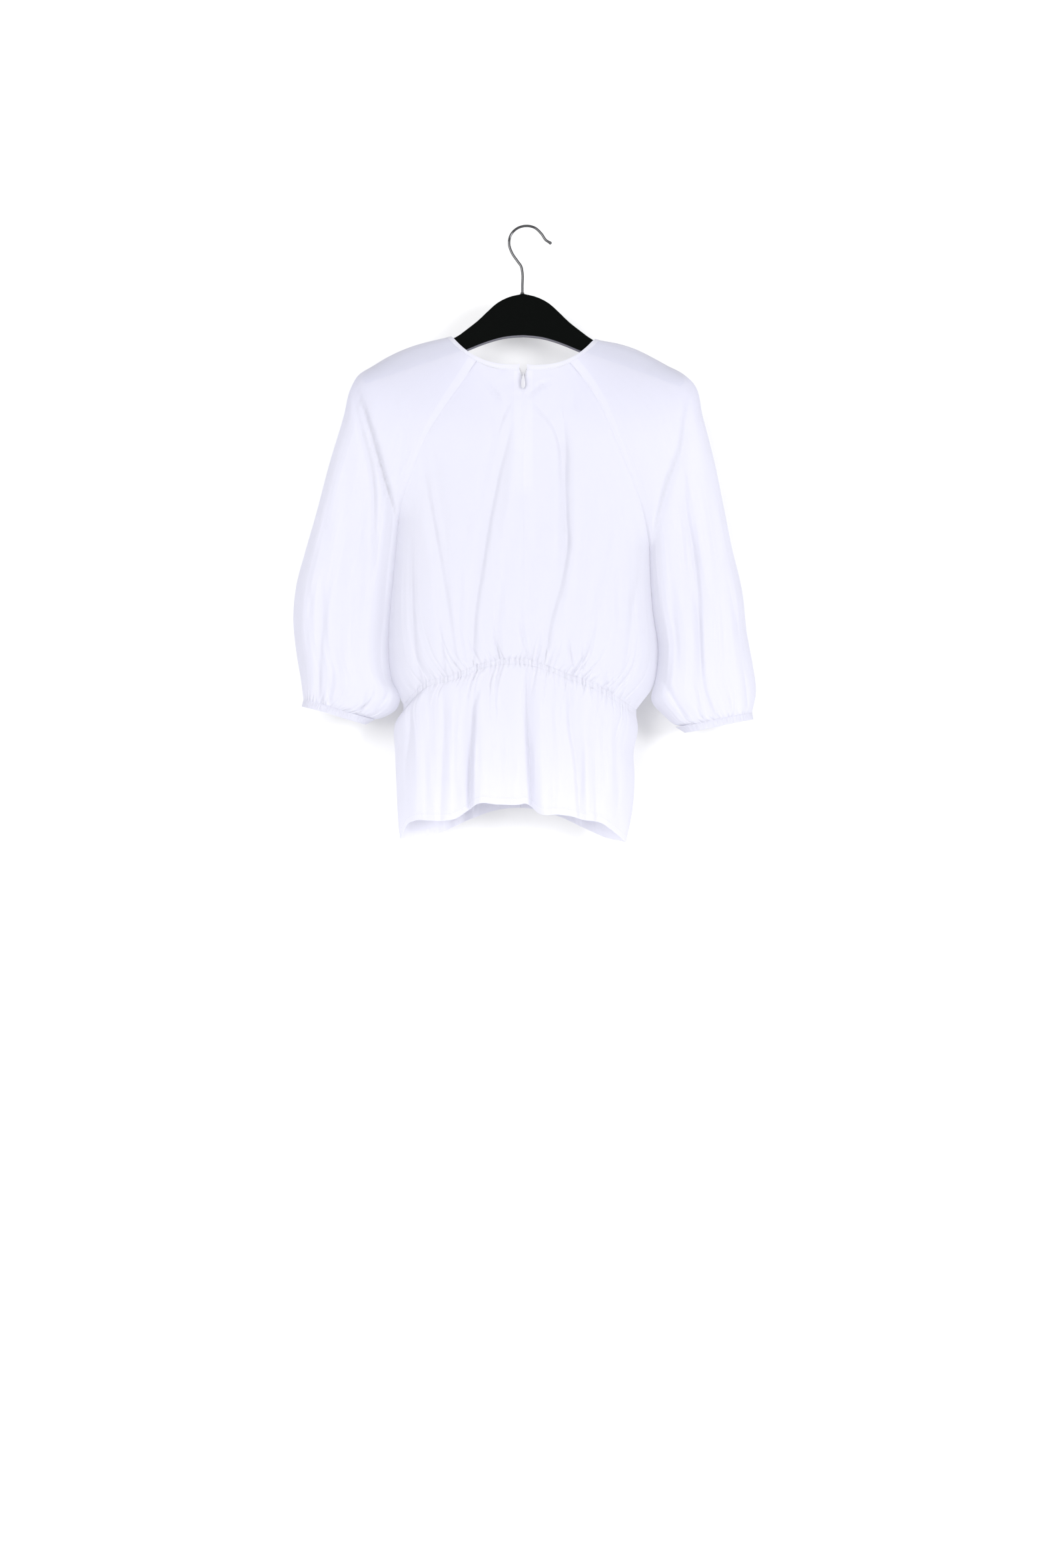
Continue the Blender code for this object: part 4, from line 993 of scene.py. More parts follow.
def binding_points(index, t):
    """Places on the binding: a station around the neck, and t from its seam to its upper edge."""
    x, facing = station_x[index], station_face[index]
    points = np.empty((*x.shape, 3))
    for face in (BACK, FRONT):
        here = facing == face
        seam = neck_point(face, x[here])
        top = neck_point(face, x[here] * NECK_TOP.half / NECK_SEAM.half, NECK_TOP)
        start = RAGLAN_TOP[face]
        past = np.maximum(0.0, np.abs(x[here]) - start) / (NECK_SEAM.half - start)
        depth = NECK_DEPTH * rounded(past, SHOULDER_ROUND)
        from_zip = (np.abs(x[here]) - ZIP_SPREAD) / ZIP_END_WIDTH
        top[..., 1] += ZIP_END_LIFT * np.exp(-(from_zip ** 2)) * (face == BACK)
        flat = seam + (top - seam) * t[here][..., None]
        points[here] = np.stack([flat[..., 0], face * depth, flat[..., 1]], axis=-1)
    return points


def away_from_neck(point):
    """The direction out of the binding at a point, leaning outwards at the shoulders."""
    return (SHOULDER_LEAN * point[0] / NECK_SEAM.half, math.copysign(1.0, point[1]), 0.0)


def rolled(t, power=0.5):
    """How far a folded band stands out, from 0 at its two edges to 1 between them."""
    return np.sin(math.pi * np.clip(t, 0, 1)) ** power


def face_out(mesh):
    """Turn a closed band's faces outwards, going by its rearmost one."""
    rearmost = min(mesh.polygons, key=lambda face: face.center.y)
    if rearmost.normal.y > 0:
        mesh.flip_normals()


def place_binding(u, t):
    count = len(station_x) - 1
    index = np.rint(u * count).astype(int)
    points = binding_points(index, t)
    proud = BINDING_PROUD * rolled(t, BINDING_ROLL)
    scale = np.clip(np.abs(points[:, 1]) / NECK_DEPTH, 0.0, 1.0)
    y = points[:, 1] + np.sign(points[:, 1]) * proud * scale
    return (points[:, 0], y, points[:, 2]), marked(BINDING_PUCKER, double=WELL_INSIDE)


binding_stops = np.linspace(0, 1, BINDING_ROWS + 1)
mesh = grid_mesh("neck_band", len(station_x) - 1, binding_stops, place_binding)
face_out(mesh)
band = add_piece("neck_band", mesh, white_poplin)
thicken(band, BINDING_THICK, BINDING_OFFSET)
edge = band.modifiers.new("soft_edge", "BEVEL")
edge.width = BINDING_EDGE * MM
edge.segments = 2
edge.limit_method = "ANGLE"
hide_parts("neck_binding")
index = np.arange(len(station_x))
stitch_line = binding_points(index, np.full(len(index), NECK_STITCHES_AT))
stitch_line[:, 1] += np.sign(stitch_line[:, 1]) * NECK_STITCHES_OUT
neck_stitches = stitched("neck_stitches", stitch_line, away_from_neck)

# Waist casing
# A narrow band sewn over the waist seam and drawn up by elastic, so its face is ruched, with a row
# of stitches along each edge.

CASING_HEIGHT = 7.0
CASING_ROWS = 8
CASING_COLUMNS = 480
CASING_PROUD = 0.25
CASING_GAP = 0.3
CASING_TUCK_REACH = 9.0
RUCHES = 104
RUCHE_SIZE = (1.0, 6.0)
CASING_RUMPLES = {"rise": 0.5, "across": 120, "down": 3}
CASING_WANDER = {"rise": 0.7, "across": 75, "down": 2}
CASING_STITCHES = {"top": 0.13, "foot": 0.87}
STITCHES_OUT = 0.05
CASING_SEED = 40


def casing_panel(facing, seed):
    """The casing's face, s from -1 to 1 and t from its upper edge to its lower one."""
    upper = by_x(WAIST[facing], gap=CASING_GAP)
    lower = by_x(WAIST[facing], gap=-CASING_HEIGHT - CASING_GAP)
    seeds = (WAIST_TUCKS[facing], seed)

    def place(u, t):
        s = across_waist(2 * u - 1)
        flat = (1 - t[..., None]) * upper(s) + t[..., None] * lower(s)
        depth = body_depth(np.ones(1)) * rounded(s, BODY_ROUND)
        edge = np.abs(t - 0.5) * CASING_HEIGHT
        ruches = gathers(u, edge, RUCHES, (seed + 1, seed + 2), *RUCHE_SIZE)
        rumples = uneven(u, t, seed + 3, **CASING_RUMPLES)
        lift = gathers(u, 0 * u, WAIST_GATHERS, seeds, GATHER_RISE, CASING_TUCK_REACH)
        lift += (ruches + rumples + CASING_PROUD) * rolled(t)
        depth = depth + lift * (1 - np.abs(s) ** SIDE_FADE)
        z = flat[..., 1] + uneven(u, t, seed + 4, **CASING_WANDER)
        return (flat[..., 0], facing * np.maximum(depth, 0.0), z), marked(1.0)

    return place


def along_y(point):
    """The direction out of a front or back face at a point."""
    return (0.0, math.copysign(1.0, point[1]), 0.0)


def face_line(place, t, count, first=0.01, last=0.99):
    """Points across a face at one t, a little proud of it."""
    (x, y, z), _ = place(np.linspace(first, last, count), np.full(count, t))
    return np.stack([x, y + np.sign(y) * STITCHES_OUT, z], axis=-1)


for facing in (BACK, FRONT):
    name = FACE_NAMES[facing]
    place = casing_panel(facing, CASING_SEED + facing)
    mesh = grid_mesh(f"casing_{name}", CASING_COLUMNS, np.linspace(0, 1, CASING_ROWS + 1), place)
    piece = cloth_piece(f"casing_{name}", f"waist_casing_{name}", mesh, facing, white_poplin)
    rows = [stitched(f"casing_stitches_{name}_{end}", face_line(place, t, 500), along_y)
            for end, t in CASING_STITCHES.items()]

# Peplum
# The short flared skirt, gathered onto the casing. Its folds fall straight to a hem that is turned
# up once and stitched, and the front layer hangs a little lower than the back.

PEPLUM_SIDE = {
    LEFT: [(-142, -573), (-150, -584), (-151.5, -628), (-150, -667), (-148, -706), (-146, -725)],
    RIGHT: [(134, -579), (136, -592), (131, -622), (132, -654), (129.5, -690), (122, -729)],
}
HEM = {
    BACK: [
        (-146, -725), (-138, -709), (-130, -704), (-110, -703), (-92, -703), (-78, -700), (-66, -692),
        (-55, -684), (-30, -684), (-3, -684), (3, -683), (9, -686), (15, -692), (43, -696),
        (59, -698.5), (70, -702), (82, -703.5), (92, -706), (104, -714), (122, -729),
    ],
    FRONT: [
        (-146, -725), (-123, -723), (-99, -718), (-70, -705), (-35, -692), (5, -689),
        (40, -698), (76, -714), (98, -724), (122, -729),
    ],
}
PEPLUM_CREASES = [
    Crease([(-50, -545, 0.6), (-57, -562, 4), (-60, -600, 8), (-62, -640, 10), (-63, -668, 11),
            (-63, -704, 11)], 12, 3, 1.7),
    Crease([(4.4, -524, 0.6), (4.6, -545, 4), (5, -589, 6), (7.5, -641, 8),
            (10, -695, 9)], 2, 6, 1.4), Crease([(-134, -560, 0.6), (-134, -602, 2.6),
                                                (-138, -630, 2.4),

 (-141, -660, 1)], 4, 3, 1.5), Crease([(-94, -547, 0.6), (-93, -575, 2.2), (-94, -610, 2.6),
                                       (-96, -660, 3),
                                       (-98, -712, 3.2)], 6, 4, 1.6), Crease([(53, -536, 0.6),
                                                                              (54, -560, 3),
                                                                              (55, -589, 4),
                                                                              (61, -628, 4.6),
                                                                              (66, -687, 5),

 (68, -712, 5)], 3, 10, 1.6), Crease([(84, -610, 0.3), (85, -650, 2.2),
                                      (86, -712, 3.4)], 3, 6, 1.6), Crease([(95, -575, 0.4),
                                                                            (94, -600, 2),
                                                                            (94, -630, 1.2),

 (95, -660, 0.3)], 4, 4, 1.6), Crease([(-112, -556, 0.4), (-110, -580, 1.4), (-112, -620, 1.4),
                                       (-114, -680, 1.6),
                                       (-114, -712, 1.6)], 5, 6, 1.8), Crease([(-75, -545, 0.5),
                                                                               (-76, -575, 1.6),
                                                                               (-78, -620, 1.4),

 (-78, -660, 0.6)], 4, 3, 1.6), Crease([(30, -536, 0.4), (31, -570, 1.0), (34, -630, 1.4),
                                        (36, -700, 1.8)], 5, 6, 1.9), Crease([(110, -575, 0.4),
                                                                              (110, -620, 1.8),
                                                                              (112, -670, 1.8),

 (114, -712, 1.6)], 5, 5, 1.8), Crease([(-40, -560, 0), (-44, -600, -2.4), (-46, -650, -4),
                                        (-47, -690, -4.4)], 9, 16, 2), Crease([(-14, -560, 0),
                                                                               (-9, -610, -2),
                                                                               (-7, -650, -3),

 (-5, -690, -4)], 14, 7, 2), Crease([(20, -560, 0), (20, -610, -1.6), (23, -650, -2.2),
                                     (24, -690, -2.6)], 7, 9, 2), Crease([(74, -560, 0),
                                                                          (74, -610, -1.6),
                                                                          (75, -660, -2.6),

 (76, -705, -3)], 5, 5, 2), Crease([(-82, -560, 0), (-84, -620, -1.4),
                                    (-84, -690, -2.2)], 6, 6, 2), Crease([(-124, -570, 0),
                                                                          (-126, -620, -1.6),

 (-127, -690, -2)], 6, 6, 2), ]
HEM_SWELL = 6.0
HEM_TURN = 8.0
HEM_STEP = 0.35
HEM_STEP_WIDTH = 0.9
HEM_STITCHES_AT = 0.953
PEPLUM_STREAKS = {"rise": 0.6, "across": 60, "down": 3}
PEPLUM_SWAYS = {"rise": 1.0, "across": 16, "down": 3}
PEPLUM_SWAYS_FULL_AT = 1 / 3
PEPLUM_GATHER_REACH = 48.0
PEPLUM_COLUMNS = 360
PEPLUM_SEED = 50
PEPLUM_STOPS = np.concatenate([
    np.linspace(0, 0.18, 24), np.linspace(0.18, 0.93, 34)[1:], np.linspace(0.93, 1.0, 12)[1:],
])


def peplum_panel(facing, seed):
    """The peplum's face, u from its left side to its right and t from the casing to the hem."""
    upper = by_x(WAIST[facing], gap=-CASING_HEIGHT)
    hem = by_x(HEM[facing])
    sides = {side: path(PEPLUM_SIDE[side]) for side in (LEFT, RIGHT)}
    creases = PEPLUM_CREASES if facing == BACK else mirrored(PEPLUM_CREASES)
    seeds = (WAIST_TUCKS[facing], seed + 2)

    def place(u, t):
        s = across_waist(2 * u - 1)
        flat = laid(
            lambda k: upper(2 * k - 1), lambda k: hem(2 * k - 1), sides[LEFT], sides[RIGHT],
            (s + 1) / 2, t,
        )
        x, z = flat[..., 0], flat[..., 1]
        depth = (body_depth(np.ones(1)) + HEM_SWELL * t) * rounded(s, BODY_ROUND)
        drop = np.maximum(upper(s)[..., 1] - z, 0.0)
        to_hem = z - hem(s)[..., 1]
        fold = -creased(creases, x, z)
        fold += uneven(u, t, seed, **PEPLUM_STREAKS)
        fold += uneven(u, t, seed + 1, **PEPLUM_SWAYS) * np.minimum(1.0, t / PEPLUM_SWAYS_FULL_AT)
        fold += gathers(u, drop, WAIST_GATHERS, seeds, GATHER_RISE, PEPLUM_GATHER_REACH)
        fold -= HEM_STEP * np.exp(-(((to_hem - HEM_TURN) / HEM_STEP_WIDTH) ** 2))
        depth = depth + fold * (1 - np.abs(s) ** SIDE_FADE)
        return (x, facing * np.maximum(depth, 0.0), z), marked(puckered(drop))

    return place


for facing in (BACK, FRONT):
    name = FACE_NAMES[facing]
    place = peplum_panel(facing, PEPLUM_SEED + facing)
    mesh = grid_mesh(f"skirt_{name}", PEPLUM_COLUMNS, PEPLUM_STOPS, place)
    piece = cloth_piece(f"skirt_{name}", f"peplum_{name}", mesh, facing, white_poplin)
    hem = stitched(f"hem_stitches_{name}", face_line(place, HEM_STITCHES_AT, 500), along_y)

# Cuffs
# Each sleeve is gathered into a narrow band of the same cloth, folded lengthwise and drawn up, so
# that fine ribs run down it, with one row of stitches along its top.

CUFF_HEIGHT = 8.5
CUFF_ROWS = 8
CUFF_COLUMNS = 480
CUFF_THICK = 1.0
# Painted shade: the cuffs get a darker copy of the same poplin
CUFF_SHADED_POPLIN = (0.8, 0.8, 0.86)
INNER_END_REACH = 9.0
INNER_END_POWER = 12
CUFF_RIBS = 68
CUFF_RIB_SIZE = (0.75, 8.0)
CUFF_RUMPLES = {"rise": 0.3, "across": 84, "down": 2}
CUFF_ROLL, CUFF_SINK = 0.5, 0.35
CUFF_RIB_ROUND = 6
CUFF_STITCHES_AT = 0.15
CUFF_SEEDS = (70, 74, 78)
CUFF_STITCHES = {"back": (0.03, 0.47), "front": (0.53, 0.97)}

# A darker, shaded copy of the poplin for the cuffs
folded_poplin = poplin("folded_poplin", CUFF_SHADED_POPLIN)
for side in (LEFT, RIGHT):
    line = path(CUFF_LINE[side])
    ends = line(1.0) - line(0.0)
    outwards = ends / np.linalg.norm(ends)
    down = np.array([outwards[1], -outwards[0]])
    down = down * math.copysign(1.0, -down[1])
    seeds = [seed + side for seed in CUFF_SEEDS]

    def place(u, t):
        around = 1 - np.abs(2 * u - 1)
        s = (1 + across_cuff(2 * around - 1)) / 2
        flat = line(s) + down * (t * CUFF_HEIGHT)[..., None]
        toward_body = INNER_END_REACH * np.clip(1 - t, 0, 1) * (1 - s) ** INNER_END_POWER
        flat = flat - toward_body[..., None] * outwards
        rumples = uneven(u, t, seeds[0], **CUFF_RUMPLES)
        ribs = gathers(u, 0 * u, CUFF_RIBS, seeds[1:], *CUFF_RIB_SIZE)
        lift = rumples + (ribs + CUFF_ROLL) * rolled(t) - CUFF_SINK
        depth = CUFF_DEPTH * rounded(2 * s - 1, BODY_ROUND)
        depth = depth + lift * rounded(2 * s - 1, CUFF_RIB_ROUND)
        y = np.where(u <= 0.5, -1, 1) * depth
        return (flat[..., 0], y, flat[..., 1]), marked(1.0)

    name = SIDE_NAMES[side]
    mesh = grid_mesh(f"cuff_band_{name}", CUFF_COLUMNS, np.linspace(0, 1, CUFF_ROWS + 1), place)
    shape = bmesh.new()
    shape.from_mesh(mesh)
    bmesh.ops.remove_doubles(shape, verts=shape.verts, dist=0.01 * MM)
    for edge in shape.edges:
        edge.smooth = not edge.is_boundary
    shape.to_mesh(mesh)
    shape.free()
    face_out(mesh)
    piece = add_piece(f"cuff_band_{name}", mesh, folded_poplin)
    thicken(piece, CUFF_THICK)
    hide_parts(f"cuff_{name}")
    rows = []
    for face, ends in CUFF_STITCHES.items():
        row = face_line(place, CUFF_STITCHES_AT, 200, *ends)
        rows.append(stitched(f"cuff_stitches_{name}_{face}", row, along_y))

# Zip
# A concealed zip at the centre back: two woven tapes inside the panels, small moulded teeth that
# show where the neck edge parts, and a lacquered slider with a teardrop pull tab on its pin.

TAPE_GAP = 2.4
TAPE_FROM, TAPE_TO = 0.022, 0.39
TAPE_COLUMNS, TAPE_ROWS = 24, 59
TAPE_RIB = 2 * math.pi / (0.9 * MM)
TAPE_DARK, TAPE_PALE = (0.82, 0.82, 0.88), (0.88, 0.88, 0.93)

tape_finish = Finish("woven_tape", TAPE_PALE, 0.8)
ribs = tape_finish.wave(tape_finish.along("Z") * TAPE_RIB)
tape_finish.feed("Base Color", tape_finish.mix(ribs * 0.5 + 0.5, TAPE_DARK, TAPE_PALE))
tape_finish.bump(ribs, 0.4, 0.05)


def place_tape(u, t):
    _, y, z, _ = back_panel(0 * u, t)
    return ((2 * u - 1) * TAPE_HALF, y + TAPE_GAP, z), {}


tape_stops = np.linspace(TAPE_FROM, TAPE_TO, TAPE_ROWS + 1)
mesh = grid_mesh("zip_tapes", TAPE_COLUMNS, tape_stops, place_tape)
piece = cloth_piece("zip_tapes", "zip_tape", mesh, BACK, tape_finish.material)

LACQUER = (0.53, 0.53, 0.57)

lacquer = Finish("white_lacquer", LACQUER, 0.3, {"Specular IOR Level": 0.3, "Coat Weight": 0.1})
lacquer.roughen(0.24, 0.39, lacquer.noise(900.0))

TOOTH = (1.5, 0.9, 0.75)
TOOTH_PITCH = 1.25
TOOTH_CLEAR = 0.5
TOOTH_BEVEL = 0.18
TEETH = 9
TEETH_TOP = -167.5


def block(shape, size, place):
    """Add a box of a size, with its middle at a place."""
    made = bmesh.ops.create_cube(shape, size=1.0)["verts"]
    bmesh.ops.scale(shape, vec=[part * MM for part in size], verts=made)
    bmesh.ops.translate(shape, vec=[part * MM for part in place], verts=made)
    return made


shape = bmesh.new()
for side in (LEFT, RIGHT):
    for number in range(TEETH):
        z = TEETH_TOP - TOOTH_PITCH * (number + (0.5 if side == RIGHT else 0.0))
        spread = ZIP_SPREAD * (1 - number / (TEETH - 1)) + TOOTH_CLEAR
        block(shape, TOOTH, (side * spread, -NECK_DEPTH, z))
bmesh.ops.bevel(shape, geom=shape.edges, offset=TOOTH_BEVEL * MM, segments=2, affect="EDGES")
piece = add_piece("zip_teeth", mesh_from("zip_teeth", shape), lacquer.material)

TAB_PIN = (0.0, -16.344, -176.5)
TAB_LENGTH = 17.0
TAB_NECK = 0.85
TAB_HALF_WIDE = 2.4
TAB_WIDEST_AT = 0.74
TAB_HALF_THICK = 0.5
TAB_RIM = 0.55
TAB_RIM_RISE = 0.16
TAB_POINTS = 32
KNUCKLE = {"radius": 1.1, "length": 2.0, "segments": 24}


def tab_half_width(part):
    """The pull tab's half width, from its pin at 0 to its round foot at 1."""
    if part < TAB_WIDEST_AT:
        return TAB_NECK + (TAB_HALF_WIDE - TAB_NECK) * float(eased(part / TAB_WIDEST_AT))
    past = (part - TAB_WIDEST_AT) / (1 - TAB_WIDEST_AT)
    return TAB_HALF_WIDE * math.sqrt(max(0.0, 1 - past * past))


def rod(shape, radius, length, segments, place=(0.0, 0.0, 0.0)):
    """Add a round rod along X, with its middle at a place."""
    spot = Matrix.Translation([part * MM for part in place])
    bmesh.ops.create_cone(
        shape, cap_ends=True, segments=segments, radius1=radius * MM, radius2=radius * MM,
        depth=length * MM, matrix=spot @ Matrix.Rotation(math.pi / 2, 4, "Y"),
    )


shape = bmesh.new()
drops = np.sin(np.linspace(0, math.pi / 2, TAB_POINTS))
right_edge = [(tab_half_width(k), -TAB_LENGTH * k) for k in drops]
edge_line = right_edge + [(-x, z) for x, z in reversed(right_edge[:-1])]
corners = [shape.verts.new((x * MM, -TAB_HALF_THICK * MM, z * MM)) for x, z in edge_line]
face = shape.faces.new(corners)
moved = bmesh.ops.extrude_face_region(shape, geom=[face])["geom"]
far = [item for item in moved if isinstance(item, bmesh.types.BMVert)]
bmesh.ops.translate(shape, vec=(0, 2 * TAB_HALF_THICK * MM, 0), verts=far)
wide = [item for item in shape.faces if len(item.verts) > 4]
bmesh.ops.inset_region(shape, faces=wide, thickness=TAB_RIM * MM, depth=-TAB_RIM_RISE * MM)
bmesh.ops.recalc_face_normals(shape, faces=shape.faces)
rod(shape, **KNUCKLE)
bmesh.ops.translate(shape, vec=[part * MM for part in TAB_PIN], verts=shape.verts)
mesh = mesh_from("pull_tab_drop", shape)
piece = add_piece("pull_tab_drop", mesh, lacquer.material, "pull_tab")
mesh.set_sharp_from_angle(angle=math.radians(40))
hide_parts("zip_pull_tab")

SLIDER = (5.0, 2.0, 8.0)
SLIDER_Z = -178.5
SLIDER_TAPER = 0.62
SLIDER_BEVEL = 0.3
EAR = (0.7, 2.9, 2.6)
EAR_X, EAR_OUT = 1.65, 2.05
PIN = {"radius": 0.4, "length": 3.3, "segments": 20}

_, solid_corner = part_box("zip_slider")
slider_y = solid_corner.y / MM - SLIDER[1] / 2
shape = bmesh.new()
for vertex in block(shape, SLIDER, (0, slider_y, SLIDER_Z)):
    if vertex.co.z < SLIDER_Z * MM:
        vertex.co.x *= SLIDER_TAPER
for side in (LEFT, RIGHT):
    block(shape, EAR, (side * EAR_X, slider_y - EAR_OUT, TAB_PIN[2]))
bmesh.ops.bevel(shape, geom=shape.edges, offset=SLIDER_BEVEL * MM, segments=3, affect="EDGES")
rod(shape, **PIN, place=TAB_PIN)
mesh = mesh_from("slider_body", shape)
piece = add_piece("slider_body", mesh, lacquer.material)
mesh.set_sharp_from_angle(angle=math.radians(50))
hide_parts("zip_slider")

# Hanger
# A flat contoured hanger moulded in satin black plastic, with rounded edges. Its faces that look
# down are painted grey, painted light thrown up from the white cloth below it.

HANGER_HALF_THICK = 5.5
HANGER_ROUND = 2.6
BLACK, BLACK_PALER = (0.0012, 0.0016, 0.0014), (0.0024, 0.003, 0.0027)
# Painted light: the hanger's downward faces are painted grey for light from the cloth below
UNDERSIDE_LIGHT = (0.19, 0.187, 0.215)
UNDERSIDE_LIGHT_FROM, UNDERSIDE_LIGHT_TO = -0.45, -0.75

black = Finish("satin_black", BLACK, 0.42, {"Specular IOR Level": 0.02})
grain = black.noise(260.0, 4.0)
black.roughen(0.36, 0.5, grain)
looks = black.node("ShaderNodeNewGeometry", out="Normal")
looks_up = black.node("ShaderNodeSeparateXYZ", values={0: looks}, out="Z")
# Painted light on the faces that look down
underside_light = black.step(looks_up, UNDERSIDE_LIGHT_FROM, UNDERSIDE_LIGHT_TO)
black.feed("Base Color", black.mix(underside_light, black.mix(grain, BLACK, BLACK_PALER), UNDERSIDE_LIGHT))
black.bump(grain, 0.25, 0.05)

curve = bpy.data.curves.new("hanger_outline", "CURVE")
curve.dimensions = "2D"
curve.fill_mode = "BOTH"
curve.extrude = HANGER_HALF_THICK * MM
spline = curve.splines.new("POLY")
spline.points.add(len(outline) - 1)
for point, (x, z) in zip(spline.points, outline):
    point.co = (x * MM, z * MM, 0.0, 1.0)
spline.use_cyclic_u = True
flat = bpy.data.objects.new("hanger_outline", curve)
bpy.context.scene.collection.objects.link(flat)
mesh = bpy.data.meshes.new_from_object(flat.evaluated_get(bpy.context.evaluated_depsgraph_get()))
bpy.data.objects.remove(flat)
shape = bmesh.new()
shape.from_mesh(mesh)
bmesh.ops.remove_doubles(shape, verts=shape.verts, dist=1e-6)
for vertex in shape.verts:
    vertex.co = (vertex.co.x, -vertex.co.z, vertex.co.y)
bmesh.ops.recalc_face_normals(shape, faces=shape.faces)
bmesh.ops.dissolve_limit(shape, angle_limit=math.radians(1), verts=shape.verts, edges=shape.edges)
mesh = mesh_from("hanger_body", shape)
piece = add_piece("hanger_body", mesh, black.material)
rounding = piece.modifiers.new("rounded_edge", "BEVEL")
rounding.width = HANGER_ROUND * MM
rounding.segments = 6
rounding.limit_method = "ANGLE"
rounding.angle_limit = math.radians(50)
mesh.set_sharp_from_angle(angle=math.radians(60))
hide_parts("hanger")

# Hook
# Polished steel wire, bent to a hook, with a small ball at its tip and a collar where it enters
# the hanger.

HOOK_RADIUS = 1.6
HOOK_POINTS = 120
HOOK_LINE = [
    (-1, -91), (-1, -70), (-1, -53.5), (-2.4, -46.5), (-7, -39.8), (-13.2, -30.5), (-16.7, -19.5),
    (-14.6, -9), (-7, -1.2), (3.5, 1.6), (13.5, -0.4), (21.5, -7.5), (27, -15.2), (32, -18.5),
]
BALL_RADIUS = 2.0
COLLAR = {"radius1": 2.7 * MM, "radius2": 2.2 * MM, "depth": 2.4 * MM}
COLLAR_PLACE = (-1 * MM, 0, -78.6 * MM)
COLLAR_BEVEL = 0.3
# Painted reflection: the steel is darkened to look as if it reflected dark surroundings
DARKENED_STEEL = (0.11, 0.11, 0.115)

chrome = Finish("polished_steel", DARKENED_STEEL, 0.05, {"Metallic": 1.0})
chrome.roughen(0.01, 0.07, chrome.noise(400.0, 3.0))

hook_path = path(HOOK_LINE)
curve = bpy.data.curves.new("hook_wire", "CURVE")
curve.dimensions = "3D"
curve.bevel_depth = HOOK_RADIUS * MM
curve.bevel_resolution = 6
curve.use_fill_caps = True
spline = curve.splines.new("POLY")
spline.points.add(HOOK_POINTS - 1)
for number, point in enumerate(spline.points):
    x, z = hook_path(number / (HOOK_POINTS - 1))
    point.co = (x * MM, 0.0, z * MM, 1.0)
curve.materials.append(chrome.material)
hook = bpy.data.objects.new("hook_wire", curve)
bpy.context.scene.collection.objects.link(hook)
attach(hook, "top")
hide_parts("hook")

shape = bmesh.new()
ball = bmesh.ops.create_uvsphere(shape, u_segments=32, v_segments=16, radius=BALL_RADIUS * MM)
tip_x, tip_z = hook_path(1.0) * MM
bmesh.ops.translate(shape, vec=(tip_x, 0, tip_z), verts=ball["verts"])
spot = Matrix.Translation(COLLAR_PLACE)
cone = bmesh.ops.create_cone(shape, cap_ends=True, segments=40, matrix=spot, **COLLAR)
collar = set(cone["verts"])
collar_edges = [edge for edge in shape.edges if edge.verts[0] in collar]
bmesh.ops.bevel(shape, geom=collar_edges, offset=COLLAR_BEVEL * MM, segments=2, affect="EDGES")
mesh = mesh_from("hook_ends", shape)
piece = add_piece("hook_ends", mesh, chrome.material)
mesh.set_sharp_from_angle(angle=math.radians(40))

# Wall, floor, light and camera
# A plain white wall close behind the hanger and a pale floor far below, in a bright even
# surrounding, with a large soft light from the right, a wider one from the left and a faint one
# from below.

WALL_Y = 62.0
FLOOR_Z = -2200.0
BOARD = 9000.0
WALL_GREY = (0.79, 0.79, 0.79)
WALL_GLOW = 0.13
FLOOR_GREY = (0.85, 0.85, 0.86)
SURROUNDING = 0.79
CAMERA = (-0.8, -3000.0, -660.0)
VIEW_HEIGHT = 1859.0
SENSOR = 36.0


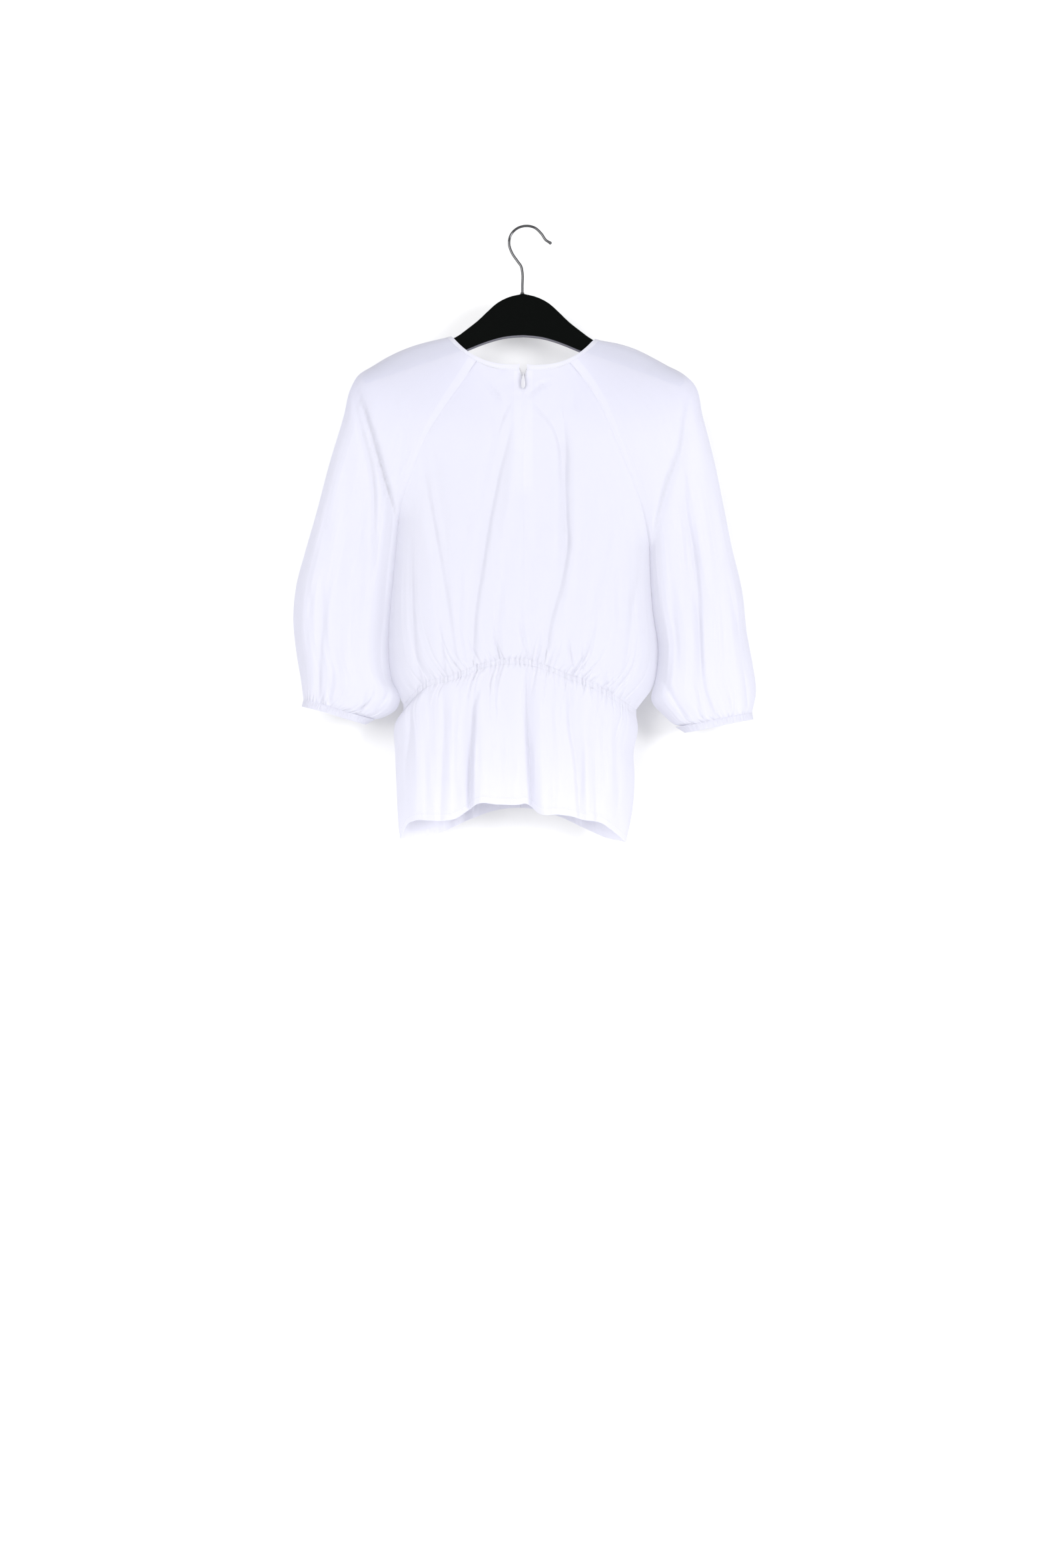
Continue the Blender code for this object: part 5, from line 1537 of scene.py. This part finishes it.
def plain_board(name, place, turn, colour, glow=0.0, one_sided=False):
    """A plain board for the setting, seen through from behind where it is one-sided."""
    shape = bmesh.new()
    bmesh.ops.create_grid(shape, x_segments=1, y_segments=1, size=BOARD / 2 * MM)
    mesh = mesh_from(name, shape)
    finish = Finish(name, colour, 0.9, {"Specular IOR Level": 0.0})
    finish.shader.inputs["Emission Color"].default_value = (1.0, 1.0, 1.0, 1.0)
    finish.shader.inputs["Emission Strength"].default_value = glow
    if one_sided:
        behind = finish.node("ShaderNodeNewGeometry", out="Backfacing")
        finish.blend(behind, finish.node("ShaderNodeBsdfTransparent"))
    mesh.materials.append(finish.material)
    made = bpy.data.objects.new(name, mesh)
    made.location = [part * MM for part in place]
    made.rotation_euler = turn
    bpy.context.scene.collection.objects.link(made)


upright = (math.pi / 2, 0, 0)
plain_board("wall", (0, WALL_Y, CAMERA[2]), upright, WALL_GREY, WALL_GLOW, one_sided=True)
plain_board("floor", (0, 0, FLOOR_Z), (0, 0, 0), FLOOR_GREY)

world = bpy.data.worlds.new("studio")
bpy.context.scene.world = world
world.use_nodes = True
background = world.node_tree.nodes["Background"]
background.inputs["Color"].default_value = (1.0, 1.0, 1.0, 1.0)
background.inputs["Strength"].default_value = SURROUNDING


def soft_light(name, place, aim, size, power):
    """A square soft light at a place, turned towards a point."""
    lamp = bpy.data.lights.new(name, "AREA")
    lamp.shape = "SQUARE"
    lamp.size = size * MM
    lamp.energy = power
    made = bpy.data.objects.new(name, lamp)
    made.location = [part * MM for part in place]
    toward = Vector(aim) - Vector(place)
    made.rotation_euler = toward.to_track_quat("-Z", "Y").to_euler()
    bpy.context.scene.collection.objects.link(made)


soft_light("key", (1650, -2150, -250), (0, 0, -400), 750, 32.0)
soft_light("floor_bounce", (0, -150, -1900), (0, 0, -700), 1300, 3.0)
soft_light("left_fill", (-1250, -2700, -50), (0, 0, -350), 1500, 42.0)

camera = bpy.data.cameras.new("camera")
camera.sensor_fit = "VERTICAL"
camera.sensor_height = SENSOR
camera.sensor_width = SENSOR
camera.lens = SENSOR * -CAMERA[1] / VIEW_HEIGHT
camera.clip_start, camera.clip_end = 0.05, 50.0
camera_object = bpy.data.objects.new("camera", camera)
camera_object.location = [part * MM for part in CAMERA]
camera_object.rotation_euler = upright
bpy.context.scene.collection.objects.link(camera_object)
bpy.context.scene.camera = camera_object
bpy.context.scene.view_settings.view_transform = "Standard"
